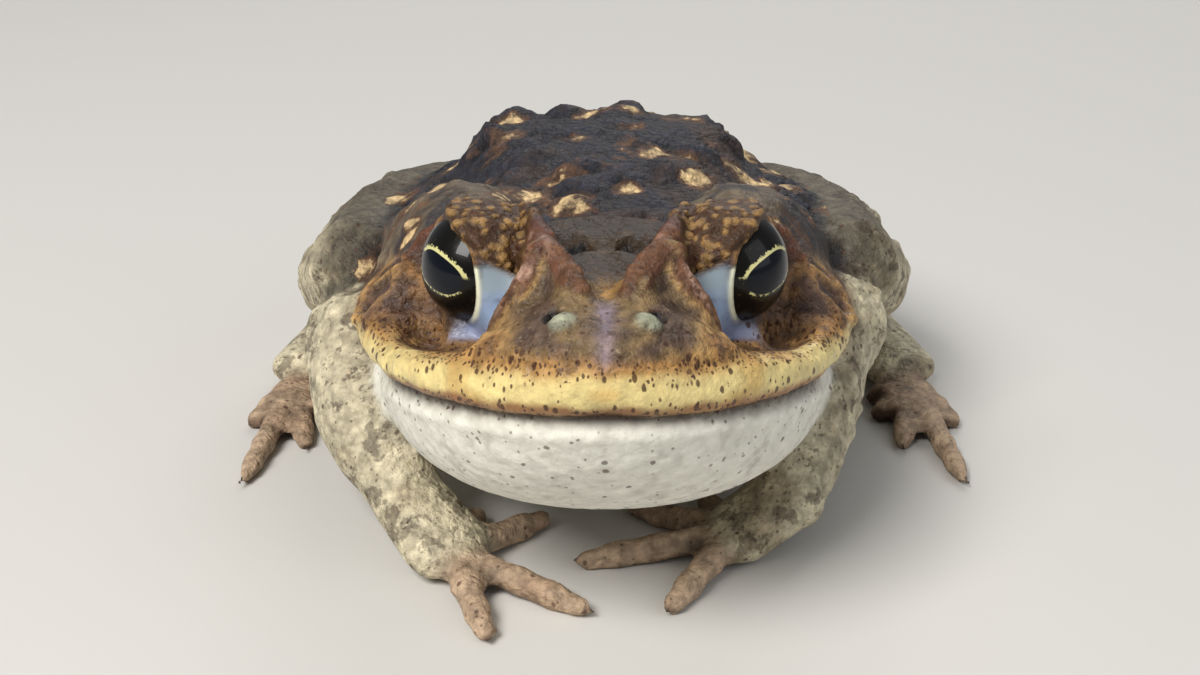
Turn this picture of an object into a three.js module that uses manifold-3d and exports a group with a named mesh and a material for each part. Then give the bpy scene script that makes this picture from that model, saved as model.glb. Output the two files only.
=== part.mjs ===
// A life-size cane toad, sitting still. Units are millimetres, +Z is up, the snout points along -Y
// and the toad's own left side is +X. The origin is on the floor, in the flat under the belly.
import * as THREE from "three";
import { mergeVertices } from "three/addons/utils/BufferGeometryUtils.js";
import Module from "manifold-3d";

const wasm = await Module();
wasm.setup();

// Driving dimensions
const SNOUT_TO_ORIGIN = 80;
const LIP_HEIGHT = 32;
const HEAD_PITCH = THREE.MathUtils.degToRad(13.8);
const HEAD_LENGTH = 48;
const HEAD_HALF_WIDTH = 29.6;
const TRUNK_FRONT = -46;
const TRUNK_BACK = 49;
const EYE_RADIUS = 6.3;
const LID_THICKNESS = 1;
const LID_OPENING = 3.1;
const POUCH_RADIUS = 4.6;
const EAR_RADIUS = 4.2;
const FINGER_LENGTHS = [13.5, 16.5, 19.6, 17];
const TOE_LENGTHS = [8.5, 13.5, 21, 31, 15];
const DIGIT_RADIUS = 1.75;
const GAP = 0.3;
const FLOOR_TRIM = 60;

const SKIN = { dark: 0x3b3531, back: 0x4a4038, limb: 0xa39a82, pale: 0xd9d4c4, lid: 0x8d6f47 };
const FLESH_FINISH = { roughness: 0.55, metalness: 0 };

const at = (x, y, z) => new THREE.Vector3(x, y, z);

// A smooth curve through [place, value] stops, level at every peak, so that it never overshoots a stop.
function profile(...stops) {
  const slopes = stops.map((stop, i) => {
    if (i === 0 || i === stops.length - 1) return 0;
    const before = (stop[1] - stops[i - 1][1]) / (stop[0] - stops[i - 1][0]);
    const after = (stops[i + 1][1] - stop[1]) / (stops[i + 1][0] - stop[0]);
    return before * after <= 0 ? 0 : (2 * before * after) / (before + after);
  });
  return (place) => {
    const last = stops.length - 1;
    if (place <= stops[0][0]) return stops[0][1];
    if (place >= stops[last][0]) return stops[last][1];
    const i = stops.findIndex((stop) => stop[0] > place) - 1;
    const span = stops[i + 1][0] - stops[i][0];
    const s = (place - stops[i][0]) / span;
    const s2 = s * s;
    const s3 = s2 * s;
    return (
      (2 * s3 - 3 * s2 + 1) * stops[i][1] +
      (s3 - 2 * s2 + s) * span * slopes[i] +
      (3 * s2 - 2 * s3) * stops[i + 1][1] +
      (s3 - s2) * span * slopes[i + 1]
    );
  };
}

// A squareness of 2 rounds a quarter as an ellipse does, and a higher one fills its corner.
const rounded = (share, squareness) => Math.sign(share) * Math.abs(share) ** (2 / squareness);

// A closed form: skin(t, angle) is the point at share t from end to end and at that angle around.
function loft(around, steps, skin) {
  const geometry = new THREE.SphereGeometry(1, around, steps);
  const { position } = geometry.attributes;
  const rings = steps + 1;
  for (let i = 0; i < position.count; i++) {
    const ring = Math.floor(i / (around + 1));
    const spoke = i % (around + 1) % around;
    const point = skin(ring / (rings - 1), (2 * Math.PI * spoke) / around);
    position.setXYZ(i, point.x, point.y, point.z);
  }
  return geometry;
}

// A form along Y whose upper and lower halves meet at its widest level. The share 'shoulder' is
// taken off between the flank and the back.
function hull({ around, steps, from, to, half, level, top, bottom, above, below, shoulder = 0, grow }) {
  return loft(around, steps, (t, angle) => {
    const s = (1 - Math.cos(Math.PI * t)) / 2;
    const y = from + (to - from) * s + grow * (2 * t - 1);
    const upper = Math.sin(angle) >= 0;
    const square = upper ? above : below;
    const height = upper ? top(s) - level(s) : level(s) - bottom(s);
    const drop = upper ? shoulder * Math.sin(2 * angle) ** 4 : 0;
    const open = t === 0 || t === 1 ? 0 : 1 - drop;
    return at(
      open * (half(s) + grow) * rounded(Math.cos(angle), square),
      y,
      level(s) + open * (height + grow) * rounded(Math.sin(angle), square),
    );
  });
}

// A tube with round ends through the path's points. Each girth is [across, up] radii at a point.
function limb({ path, girths, around = 10, steps = 8, upward = at(0, 0, 1), grow = 0 }) {
  const curve = new THREE.CatmullRomCurve3(path, false, "centripetal");
  const length = curve.getLength();
  const last = path.length - 1;
  const across = profile(...girths.map((girth, i) => [i / last, girth[0]]));
  const high = profile(...girths.map((girth, i) => [i / last, girth[1]]));
  const capStart = Math.min(...girths[0]) + grow;
  const capEnd = Math.min(...girths[last]) + grow;
  return loft(around, steps, (t, angle) => {
    const run = (length + capStart + capEnd) * (0.35 * t + 0.65 * (1 - Math.cos(Math.PI * t)) * 0.5);
    const along = run - capStart;
    const share = THREE.MathUtils.clamp(along / length, 0, 1);
    const tangent = curve.getTangentAt(share);
    const centre = curve.getPointAt(share).addScaledVector(tangent, along - share * length);
    const intoStart = Math.max(0, -along) / capStart;
    const intoEnd = Math.max(0, along - length) / capEnd;
    const open = t === 0 || t === 1 ? 0 : Math.sqrt(Math.max(0, 1 - intoStart ** 2 - intoEnd ** 2));
    const side = at().crossVectors(tangent, upward).normalize();
    const lift = at().crossVectors(side, tangent);
    return centre
      .addScaledVector(side, open * (across(share) + grow) * Math.cos(angle))
      .addScaledVector(lift, open * (high(share) + grow) * Math.sin(angle));
  });
}

// An ellipsoid whose long axis and thin axis point along two given directions.
function ellipsoid({ centre, radii, long, thin, around = 20, steps = 12, grow = 0 }) {
  const z = thin.clone().normalize();
  const x = at().crossVectors(long, z).normalize();
  const y = at().crossVectors(z, x);
  const turned = new THREE.Matrix4().makeBasis(x, y, z).setPosition(centre);
  return new THREE.SphereGeometry(1, around, steps)
    .scale(radii[0] + grow, radii[1] + grow, radii[2] + grow)
    .applyMatrix4(turned);
}

// A closed geometry as a solid, whichever way its faces point.
function solid(geometry) {
  const bare = geometry.clone();
  bare.deleteAttribute("normal");
  bare.deleteAttribute("uv");
  const merged = mergeVertices(bare, 1e-3);
  const make = (triVerts) =>
    new wasm.Manifold(
      new wasm.Mesh({ numProp: 3, vertProperties: merged.attributes.position.array, triVerts }),
    );
  const faces = new Uint32Array(merged.index.array);
  const made = make(faces);
  return made.volume() < 0 ? make(faces.reverse()) : made;
}

// The head's own frame starts at the front of the mouth line: y runs back along it and z up from it.
const headFrame = new THREE.Matrix4()
  .makeRotationX(-HEAD_PITCH)
  .setPosition(0, -SNOUT_TO_ORIGIN, LIP_HEIGHT);
const onHead = (x, y, z) => at(x, y, z).applyMatrix4(headFrame);
const alongHead = (x, y, z) => at(x, y, z).transformDirection(headFrame);

// The lips' outline from above, as a share of the head's half width.
const lipOutline = (s) => (1 - (1 - s) ** 2.4) ** 0.6;

// Upper head

function headGeometry(grow) {
  return hull({
    around: 22,
    steps: 12,
    from: -0.4,
    to: HEAD_LENGTH + 3,
    half: (s) => HEAD_HALF_WIDTH * lipOutline(s),
    level: profile([0, 4], [0.1, 1.6], [0.3, 1.6], [0.6, 3.6], [0.8, 5], [1, 6]),
    top: profile(
      [0, 5.5], [0.04, 8.2], [0.1, 10], [0.3, 12.8], [0.45, 13.8], [0.6, 14.8], [0.8, 16], [1, 15],
    ),
    bottom: profile([0, 2.5], [0.03, 0.1], [0.9, 0.1], [1, -2]),
    above: 1.75,
    below: 4.6,
    grow,
  }).applyMatrix4(headFrame);
}

// Ridges of bone under the skin, from the nostril past the eye and down in front of it
function ridges(side, grow) {
  const browRidge = {
    path: [
      onHead(side * 1.8, 6.2, 8.8),
      onHead(side * 5.6, 13.2, 13.6),
      onHead(side * 7.4, 20.3, 15.6),
      onHead(side * 9.9, 28.4, 16.8),
    ],
    girths: [[1.6, 1.6], [1.7, 1.9], [1.8, 2], [2, 2]],
  };
  const cheekRidge = {
    path: [
      onHead(side * 6.2, 14, 13.6),
      onHead(side * 8.3, 12.8, 11),
      onHead(side * 10, 12.4, 8.4),
      onHead(side * 12.4, 13, 5.2),
    ],
    girths: [[1.8, 1.9], [1.8, 1.8], [1.7, 1.7], [1.6, 1.6]],
  };
  const earRidge = {
    path: [onHead(side * 10.5, 29, 16.6), onHead(side * 17, 31.6, 14.6), onHead(side * 22.6, 31.4, 9.8)],
    girths: [[2, 2], [1.9, 1.9], [1.5, 1.5]],
  };
  const built = (ridge) => solid(limb({ ...ridge, around: 5, steps: 4, grow }));
  return [browRidge, cheekRidge, earRidge].map(built);
}

// A place given outwards, backwards and upwards from the centre of an eye
const byEye = (side, out, back, up) => onHead(side * (13.5 + out), 24 + back, 12.1 + up);
const eyeCentre = (side) => byEye(side, 0, 0, 0);

function eyeGeometry(side, grow) {
  return ellipsoid({
    centre: eyeCentre(side),
    radii: [EYE_RADIUS, EYE_RADIUS, EYE_RADIUS],
    long: alongHead(0, 1, 0),
    thin: alongHead(side * 0.83, -0.49, 0.2),
    around: 12,
    steps: 7,
    grow,
  });
}

// The hollow that bares the eye's outer half, and the pouch of the lower lid between it and the lip
function socketGeometries(side) {
  const hollows = [
    { centre: byEye(side, 3, -2.2, -1.2), radius: EYE_RADIUS + 0.4 },
    { centre: byEye(side, 1.9, -6, -4), radius: POUCH_RADIUS },
  ];
  return hollows.map(({ centre, radius }) =>
    ellipsoid({
      centre,
      radii: [radius, radius, radius],
      long: alongHead(0, 1, 0),
      thin: alongHead(side * 0.83, -0.49, 0.2),
      around: 12,
      steps: 6,
    }),
  );
}

// The lid is a shell round the eye, cut off by a plane that faces out and down.
function lidShell(side, grow) {
  const size = EYE_RADIUS + LID_THICKNESS;
  return solid(
    ellipsoid({
      centre: byEye(side, -0.1, 0.3, 0),
      radii: [size, size + 0.5, size],
      long: alongHead(side * 0.35, 1, 0.25),
      thin: alongHead(side, 0, 1),
      around: 10,
      steps: 6,
      grow,
    }),
  );
}

function lidCutter(side) {
  const outward = alongHead(side * 0.6, 0.25, -0.76);
  const reach = 2 * EYE_RADIUS + 10;
  const block = new THREE.BoxGeometry(reach, reach, reach).translate(0, 0, reach / 2 - LID_OPENING);
  const turn = new THREE.Quaternion().setFromUnitVectors(at(0, 0, 1), outward);
  return solid(block.applyQuaternion(turn).translate(...eyeCentre(side).toArray()));
}

const earCentre = (side) => onHead(side * 24.2, 33.8, 7.2);

function earGeometry(side, grow) {
  return ellipsoid({
    centre: earCentre(side),
    radii: [EAR_RADIUS, EAR_RADIUS + 0.4, 1.6],
    long: alongHead(0, 1, 0),
    thin: alongHead(side * 0.86, -0.18, 0.45),
    around: 10,
    steps: 5,
    grow,
  });
}

// Lower jaw with the throat's bag under it

function jawGeometry(grow) {
  return hull({
    around: 18,
    steps: 9,
    from: 1.1,
    to: HEAD_LENGTH - 3,
    half: (s) => (HEAD_HALF_WIDTH - 2.6) * lipOutline(s * 0.98),
    level: profile([0, -2], [0.1, -2.4], [1, -3]),
    top: profile([0, -1.2], [0.05, -0.25], [1, -0.25]),
    bottom: profile(
      [0, -3.4], [0.05, -5.6], [0.2, -10.6], [0.45, -14.4], [0.7, -14.8], [0.95, -11], [1, -8],
    ),
    above: 4,
    below: 2.15,
    grow,
  }).applyMatrix4(headFrame);
}

// Trunk

function trunkGeometry(grow) {
  return hull({
    around: 22,
    steps: 11,
    from: TRUNK_FRONT,
    to: TRUNK_BACK,
    half: profile(
      [0, 10], [0.03, 20], [0.12, 26.5], [0.3, 33.4], [0.43, 35.2],
      [0.55, 32.6], [0.67, 28], [0.8, 21.5], [0.92, 13.5], [1, 5],
    ),
    level: profile([0, 24], [0.2, 22.5], [0.5, 20.5], [0.8, 15], [1, 11]),
    top: profile(
      [0, 31], [0.05, 36.5], [0.25, 39], [0.42, 40.4], [0.55, 39.6], [0.75, 31], [0.92, 19.5], [1, 13],
    ),
    bottom: profile(
      [0, 17], [0.05, 12], [0.16, 5], [0.27, 0.2], [0.36, -0.5],
      [0.7, -0.5], [0.84, 1.2], [0.95, 4.6], [1, 9],
    ),
    above: 2.3,
    below: 2.15,
    shoulder: 0.2,
    grow,
  });
}

// The hip bones lift the skin of the back at both sides of the spine.
const hipBump = (side) =>
  solid(
    ellipsoid({
      centre: at(side * 13.6, 6, 33.9),
      radii: [6, 15, 5.2],
      long: at(side * 0.1, 1, -0.22),
      thin: at(side * 0.3, 0.2, 1),
      around: 10,
      steps: 6,
    }),
  );

function glandGeometry(side, grow) {
  return ellipsoid({
    centre: at(side * 19.6, -27.5, 31.6),
    radii: [8.6, 15.5, 6.2],
    long: at(side * 0.4, 0.86, -0.3),
    thin: at(side * 0.62, 0.06, 0.78),
    around: 12,
    steps: 7,
    grow,
  });
}

// Arms. Places here are measured outwards from the middle plane, for one side.
const ARM_POSES = {
  right: {
    shoulder: at(17, -32, 21),
    elbow: at(31.8, -27, 17.6),
    wrist: at(23.6, -46.6, 6.6),
    palm: at(17.6, -54, 2.6),
    muscle: 1.2,
    spread: [-80, -47, 32, 72],
  },
  left: {
    shoulder: at(17, -32, 21),
    elbow: at(29.2, -26.6, 20),
    wrist: at(21.4, -47, 6),
    palm: at(15.2, -49.6, 2.6),
    muscle: -0.6,
    spread: [-78, -40, 11, 60],
  },
};

const mirror = (side, point) => at(side * point.x, point.y, point.z);

function upperArmGeometry(side, pose, grow) {
  return limb({
    path: [mirror(side, pose.shoulder), mirror(side, pose.elbow)],
    girths: [[8.5, 8.5], [6.8, 6.8]],
    around: 10,
    steps: 7,
    grow,
  });
}

function forearmGeometry(side, pose, grow) {
  const bulge = pose.elbow.clone().lerp(pose.wrist, 0.42).add(at(pose.muscle, 0.6, 0.6));
  return limb({
    path: [mirror(side, pose.elbow), mirror(side, bulge), mirror(side, pose.wrist)],
    girths: [[6.2, 6.4], [7, 7], [4.9, 4.4]],
    around: 10,
    steps: 8,
    grow,
  });
}

function palmGeometry(side, pose, grow) {
  return limb({
    path: [mirror(side, pose.wrist), mirror(side, pose.palm)],
    girths: [[4.8, 4], [5.6, 2.9]],
    around: 10,
    steps: 7,
    grow,
  });
}

// A finger or toe leaves the palm a little raised, arches at its knuckle and lies flat at the tip.
function digitGeometry({ root, heading, length, rise, width, grow }) {
  const tip = root.clone().addScaledVector(heading, length - width * 0.7).setZ(width * 0.57);
  const onTheWay = (share, height) => root.clone().lerp(tip, share).setZ(height);
  return limb({
    path: [root.clone().setZ(rise), onTheWay(0.42, rise * 0.86), onTheWay(0.74, width * 0.8), tip],
    girths: [
      [width * 1.12, width],
      [width * 1.02, width],
      [width, width * 0.96],
      [width * 0.72, width * 0.72],
    ],
    around: 6,
    steps: 6,
    grow,
  });
}

function fingerGeometry(side, pose, finger, grow) {
  const turn = THREE.MathUtils.degToRad(pose.spread[finger]);
  const heading = at(-side * Math.cos(turn), -Math.sin(turn), 0);
  return digitGeometry({
    root: mirror(side, pose.palm),
    heading,
    length: FINGER_LENGTHS[finger],
    rise: 2.3,
    width: DIGIT_RADIUS,
    grow,
  });
}

// Legs, folded in three along the flank
const LEG = {
  hip: at(13, 28, 15.5),
  thigh: at(28.4, 8, 18.5),
  knee: at(32.4, -18, 24.4),
  calf: at(37, 6, 13.4),
  heel: at(30, 30, 6.4),
  instep: at(38.6, 11, 4),
  toes: at(42.6, -3, 2.45),
};
const TOE_TURNS = [44, 25, 9, -6, -21];

function thighGeometry(side, grow) {
  return limb({
    path: [LEG.hip, LEG.thigh, LEG.knee].map((point) => mirror(side, point)),
    girths: [[9.6, 10], [9.2, 10.2], [6.2, 6.8]],
    around: 10,
    steps: 8,
    grow,
  });
}

function shankGeometry(side, grow) {
  return limb({
    path: [LEG.knee, LEG.calf, LEG.heel].map((point) => mirror(side, point)),
    girths: [[5.6, 6], [6.6, 6.8], [4.6, 4.8]],
    around: 10,
    steps: 8,
    grow,
  });
}

function footGeometry(side, grow) {
  return limb({
    path: [LEG.heel, LEG.instep, LEG.toes].map((point) => mirror(side, point)),
    girths: [[4.2, 4.4], [4.3, 3.5], [5.4, 2.7]],
    around: 10,
    steps: 8,
    grow,
  });
}

function toeGeometry(side, toe, grow) {
  const turn = THREE.MathUtils.degToRad(TOE_TURNS[toe]);
  return digitGeometry({
    root: mirror(side, LEG.toes),
    heading: at(-side * Math.sin(turn), -Math.cos(turn), 0),
    length: TOE_LENGTHS[toe],
    rise: 2.1,
    width: DIGIT_RADIUS * 0.92,
    grow,
  });
}

// Assembly. A piece that grows from another is cut back by that one's grown form, which leaves GAP
// between them.
const underFloor = solid(
  new THREE.BoxGeometry(4 * FLOOR_TRIM, 4 * FLOOR_TRIM, FLOOR_TRIM).translate(0, 0, -FLOOR_TRIM / 2),
);
const toad = new THREE.Group();

function addPiece(group, name, colour, body, pivot, ...cutters) {
  const cut = [...cutters, underFloor].reduce((left, cutter) => left.subtract(cutter), body);
  const pieces = cut.decompose().sort((a, b) => b.volume() - a.volume());
  const { vertProperties, triVerts } = pieces[0].getMesh();
  const geometry = new THREE.BufferGeometry()
    .setAttribute("position", new THREE.BufferAttribute(new Float32Array(vertProperties), 3))
    .setIndex(new THREE.BufferAttribute(new Uint32Array(triVerts), 1))
    .translate(-pivot.x, -pivot.y, -pivot.z);
  geometry.computeVertexNormals();
  const material = new THREE.MeshStandardMaterial({ color: colour, ...FLESH_FINISH });
  const mesh = new THREE.Mesh(geometry, material);
  mesh.name = name;
  mesh.position.copy(pivot).sub(group.position);
  group.add(mesh);
}

const SIDES = [["left", 1], ["right", -1]];
const middle = at(0, 0, 0);
const nape = at(0, -34, 30);

const eyes = Object.fromEntries(SIDES.map(([word, side]) => [word, solid(eyeGeometry(side, GAP))]));
const glands = Object.fromEntries(SIDES.map(([word, side]) => [word, solid(glandGeometry(side, GAP))]));
const ears = Object.fromEntries(SIDES.map(([word, side]) => [word, solid(earGeometry(side, GAP))]));
const sockets = SIDES.flatMap(([, side]) => socketGeometries(side).map(solid));
const grownHead = solid(headGeometry(GAP));
const grownJaw = solid(jawGeometry(GAP));
const grownTrunk = solid(trunkGeometry(GAP));

const headGroup = new THREE.Group();
headGroup.position.copy(nape);
toad.add(headGroup);
const skull = SIDES.reduce(
  (whole, [, side]) => ridges(side, 0).reduce((sum, ridge) => sum.add(ridge), whole),
  solid(headGeometry(0)),
);
addPiece(
  headGroup, "head", SKIN.lid, skull, nape,
  ...sockets, eyes.left, eyes.right, ears.left, ears.right, glands.left, glands.right, grownTrunk,
);
addPiece(headGroup, "lower_jaw", SKIN.pale, solid(jawGeometry(0)), nape, grownHead, grownTrunk);
for (const [word, side] of SIDES) {
  const socket = eyeCentre(side);
  addPiece(headGroup, `eye_${word}`, 0x15130f, solid(eyeGeometry(side, 0)), socket);
  addPiece(
    headGroup, `eyelid_${word}`, SKIN.lid, lidShell(side, 0), socket,
    eyes[word], lidCutter(side), grownHead, ...ridges(side, GAP),
  );
  addPiece(
    headGroup, `eardrum_${word}`, SKIN.lid, solid(earGeometry(side, 0)), earCentre(side), glands[word],
  );
}

const trunk = SIDES.reduce((whole, [, side]) => whole.add(hipBump(side)), solid(trunkGeometry(0)));
addPiece(toad, "trunk", SKIN.back, trunk, middle, glands.left, glands.right);
for (const [word, side] of SIDES) {
  addPiece(toad, `parotoid_gland_${word}`, SKIN.dark, solid(glandGeometry(side, 0)), middle);
}

for (const [word, side] of SIDES) {
  const pose = ARM_POSES[word];
  const arm = new THREE.Group();
  arm.position.copy(mirror(side, pose.shoulder));
  toad.add(arm);
  const body = [grownTrunk, glands[word], grownHead, grownJaw];
  const grownUpper = solid(upperArmGeometry(side, pose, GAP));
  const grownFore = solid(forearmGeometry(side, pose, GAP));
  const grownPalm = solid(palmGeometry(side, pose, GAP));
  addPiece(
    arm, `upper_arm_${word}`, SKIN.limb, solid(upperArmGeometry(side, pose, 0)),
    mirror(side, pose.shoulder), ...body,
  );
  addPiece(
    arm, `forearm_${word}`, SKIN.limb, solid(forearmGeometry(side, pose, 0)),
    mirror(side, pose.elbow), grownUpper, ...body,
  );
  addPiece(
    arm, `hand_${word}`, SKIN.limb, solid(palmGeometry(side, pose, 0)),
    mirror(side, pose.wrist), grownFore, ...body,
  );
  const before = [grownFore, grownPalm];
  FINGER_LENGTHS.forEach((_, finger) => {
    const raw = (grow) => solid(fingerGeometry(side, pose, finger, grow));
    addPiece(
      arm, `finger_${finger + 1}_${word}`, SKIN.limb, raw(0), mirror(side, pose.palm), ...before, grownJaw,
    );
    before.push(raw(GAP));
  });
}

for (const [word, side] of SIDES) {
  const leg = new THREE.Group();
  leg.position.copy(mirror(side, LEG.hip));
  toad.add(leg);
  const grownThigh = solid(thighGeometry(side, GAP));
  const grownShank = solid(shankGeometry(side, GAP));
  const grownFoot = solid(footGeometry(side, GAP));
  const body = [grownTrunk, solid(upperArmGeometry(side, ARM_POSES[word], GAP))];
  const arm = [solid(forearmGeometry(side, ARM_POSES[word], GAP))];
  addPiece(
    leg, `thigh_${word}`, SKIN.limb, solid(thighGeometry(side, 0)),
    mirror(side, LEG.hip), ...body, ...arm,
  );
  addPiece(
    leg, `shank_${word}`, SKIN.limb, solid(shankGeometry(side, 0)),
    mirror(side, LEG.knee), grownThigh, ...body, ...arm,
  );
  addPiece(
    leg, `foot_${word}`, SKIN.limb, solid(footGeometry(side, 0)),
    mirror(side, LEG.heel), grownShank, grownThigh, ...body,
  );
  const before = [grownFoot];
  TOE_LENGTHS.forEach((_, toe) => {
    const raw = (grow) => solid(toeGeometry(side, toe, grow));
    addPiece(
      leg, `toe_${toe + 1}_${word}`, SKIN.limb, raw(0),
      mirror(side, LEG.toes), ...before, grownShank, ...arm,
    );
    before.push(raw(GAP));
  });
}

export default toad;
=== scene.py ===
"""A life-size cane toad, sitting still: one skin over the whole body, two eyes and a plain studio.

Shapes are worked out in millimetres, in the frame of the solids that they cover: +Z is up, the snout
points along -Y and the toad's own left side is +X. Every finished mesh is turned to metres.
"""

import logging
import math
from dataclasses import dataclass, field
from enum import Enum

import bmesh
import bpy
import numpy as np
from mathutils import Matrix, Vector
from mathutils.bvhtree import BVHTree


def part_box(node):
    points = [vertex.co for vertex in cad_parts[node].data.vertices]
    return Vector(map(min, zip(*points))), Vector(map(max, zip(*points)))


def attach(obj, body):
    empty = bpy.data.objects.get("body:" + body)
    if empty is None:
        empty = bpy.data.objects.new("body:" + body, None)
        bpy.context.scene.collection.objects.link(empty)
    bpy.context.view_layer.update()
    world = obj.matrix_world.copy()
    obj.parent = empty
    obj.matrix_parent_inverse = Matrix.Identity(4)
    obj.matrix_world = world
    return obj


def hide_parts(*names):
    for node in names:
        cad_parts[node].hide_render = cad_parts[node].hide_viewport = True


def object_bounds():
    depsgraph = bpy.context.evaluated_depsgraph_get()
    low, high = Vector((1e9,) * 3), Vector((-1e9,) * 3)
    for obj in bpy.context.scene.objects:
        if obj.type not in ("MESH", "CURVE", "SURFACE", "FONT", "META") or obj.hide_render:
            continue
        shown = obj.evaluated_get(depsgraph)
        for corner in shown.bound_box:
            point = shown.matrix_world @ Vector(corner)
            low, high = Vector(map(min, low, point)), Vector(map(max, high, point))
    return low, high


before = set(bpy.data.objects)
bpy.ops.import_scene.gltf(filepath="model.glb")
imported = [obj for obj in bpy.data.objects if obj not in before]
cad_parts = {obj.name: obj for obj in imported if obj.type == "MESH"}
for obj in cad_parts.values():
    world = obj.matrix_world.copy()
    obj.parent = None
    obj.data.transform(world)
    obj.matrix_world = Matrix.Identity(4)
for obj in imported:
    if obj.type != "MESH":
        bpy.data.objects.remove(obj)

LOG = logging.getLogger("toad")
CAD_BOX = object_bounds()
MM = 0.001
NO_BUMP = 9.0  # further from a bump's middle than any bump is wide
Array = np.ndarray
Socket = bpy.types.NodeSocket


class Side(Enum):
    """The toad's own left and right."""

    LEFT = 1
    RIGHT = -1

    @property
    def word(self) -> str:
        """The side's name in node names."""
        return self.name.lower()


class Zone(Enum):
    """The parts of the body that the skin's finish tells apart."""

    HEAD = ("head", "eyelid", "eardrum")
    JAW = ("lower_jaw",)
    TRUNK = ("trunk",)
    GLAND = ("parotoid_gland",)
    ARM = ("upper_arm", "forearm")
    LEG = ("thigh", "shank")
    PALM = ("hand", "foot")
    DIGIT = ("finger", "toe")

    def holds(self, node: str) -> bool:
        """Whether a node belongs to this part of the body."""
        return node.startswith(self.value)


# Small mathematics of shapes and patterns


def ramp(value: Array, low: float, high: float) -> Array:
    """A smooth step from 0 at low to 1 at high. With low above high it falls instead."""
    share = np.clip((value - low) / (high - low), 0.0, 1.0)
    return share * share * (3.0 - 2.0 * share)


def bell(distance: Array, width: float) -> Array:
    """A smooth hump, 1 in its middle and near 0 at twice its width."""
    return np.exp(-((distance / width) ** 2))


def unit(vector: Array) -> Array:
    """A vector, or each row of an array of them, at length 1."""
    return vector / (np.linalg.norm(vector, axis=-1, keepdims=True) + 1e-12)


def lattice(corner: Array, seed: int) -> Array:
    """A repeatable random share for each row of whole numbers.

    Args:
        corner: Whole numbers, three to a row.
        seed: Which pattern of random numbers to take.

    Returns:
        Numbers from 0 to 1, one for each row.
    """
    mixed = np.full(corner.shape[:-1], seed * 974711 + 12345, np.uint32)
    for axis, factor in enumerate((374761393, 668265263, 2147483629)):
        mixed = mixed + corner[..., axis].astype(np.int64).astype(np.uint32) * np.uint32(factor)
        mixed = (mixed ^ (mixed >> np.uint32(13))) * np.uint32(1274126177)
    mixed = mixed ^ (mixed >> np.uint32(16))
    return mixed.astype(np.float64) / 4294967295.0


def cloud(points: Array, size: float, seed: int, octaves: int = 3) -> Array:
    """Soft random patches, from about -1 to 1.

    Args:
        points: Places in millimetres, three to a row.
        size: How far the largest patches are apart.
        seed: Which pattern to take.
        octaves: How many finer layers are added, each half as large and half as strong.

    Returns:
        One number for each place.
    """
    total = np.zeros(len(points))
    for octave in range(octaves):
        scaled = points / (size * 0.5**octave)
        corner = np.floor(scaled).astype(np.int64)
        share = scaled - corner
        share = share * share * (3 - 2 * share)
        value = np.zeros(len(points))
        for step in np.ndindex(2, 2, 2):
            weight = np.prod(np.where(np.array(step) == 1, share, 1 - share), axis=1)
            value += weight * lattice(corner + np.array(step), seed + 31 * octave)
        total += (2 * value - 1) * 0.5**octave
    return total


def smooth(work: bmesh.types.BMesh, verts: list, factor: float) -> None:
    """Moves vertices towards their neighbours' mean, or away from it where the factor is negative."""
    bmesh.ops.smooth_vert(work, verts=verts, factor=factor, use_axis_x=True, use_axis_y=True, use_axis_z=True)


def mesh_of(name: str, work: bmesh.types.BMesh) -> bpy.types.Mesh:
    """A new mesh from the working one, which is given up.

    Args:
        name: The mesh's name.
        work: The working mesh.

    Returns:
        The new mesh.
    """
    mesh = bpy.data.meshes.new(name)
    work.to_mesh(mesh)
    work.free()
    return mesh


def placed(name: str, data: bpy.types.ID) -> bpy.types.Object:
    """A new object at the scene's origin.

    Args:
        name: The object's name.
        data: Its mesh, lamp or camera.

    Returns:
        The object.
    """
    made = bpy.data.objects.new(name, data)
    bpy.context.scene.collection.objects.link(made)
    return made


def rows_of(rows: object, name: str, width: int, kind: type = float) -> Array:
    """One property of a mesh's points, edges or triangles.

    Args:
        rows: The mesh's own list.
        name: The property.
        width: How many numbers each has.
        kind: The numbers' type.

    Returns:
        The numbers, one row for each.
    """
    values = np.zeros(len(rows) * width, kind)
    rows.foreach_get(name, values)
    return values.reshape(-1, width)


@dataclass(frozen=True)
class Cobbles:
    """Scattered round bumps or spots, at most one in each cell of a loose lattice.

    Args:
        spacing: The lattice's cell, in millimetres.
        smallest: The smallest radius.
        largest: The largest radius.
        filled: The share of the cells that hold one.
        seed: Which pattern to take.
    """

    spacing: float
    smallest: float
    largest: float
    filled: float
    seed: int

    def nearest(self, points: Array) -> Array:
        """How deep each place lies in a bump.

        Args:
            points: Places in millimetres, three to a row.

        Returns:
            The distance from the best bump's middle, as a share of its radius.
        """
        scaled = points / self.spacing
        home = np.floor(scaled).astype(np.int64)
        best = np.full(len(points), NO_BUMP)
        for step in np.ndindex(3, 3, 3):
            cell = home + np.array(step) - 1
            place = np.stack([lattice(cell, self.seed + k) for k in (1, 2, 3)], axis=1) * 0.8 + 0.1 + cell
            size = lattice(cell, self.seed + 4)
            radius = self.smallest + (self.largest - self.smallest) * size**1.5
            share = np.linalg.norm(scaled - place, axis=1) * self.spacing / radius
            share = np.where(lattice(cell, self.seed + 5) < self.filled, share, NO_BUMP)
            best = np.minimum(best, share)
        return best

    def domes(self, points: Array) -> Array:
        """The bumps' height at each place, from 0 to 1."""
        return np.clip(1 - self.nearest(points) ** 2, 0, 1) ** 1.3


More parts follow.
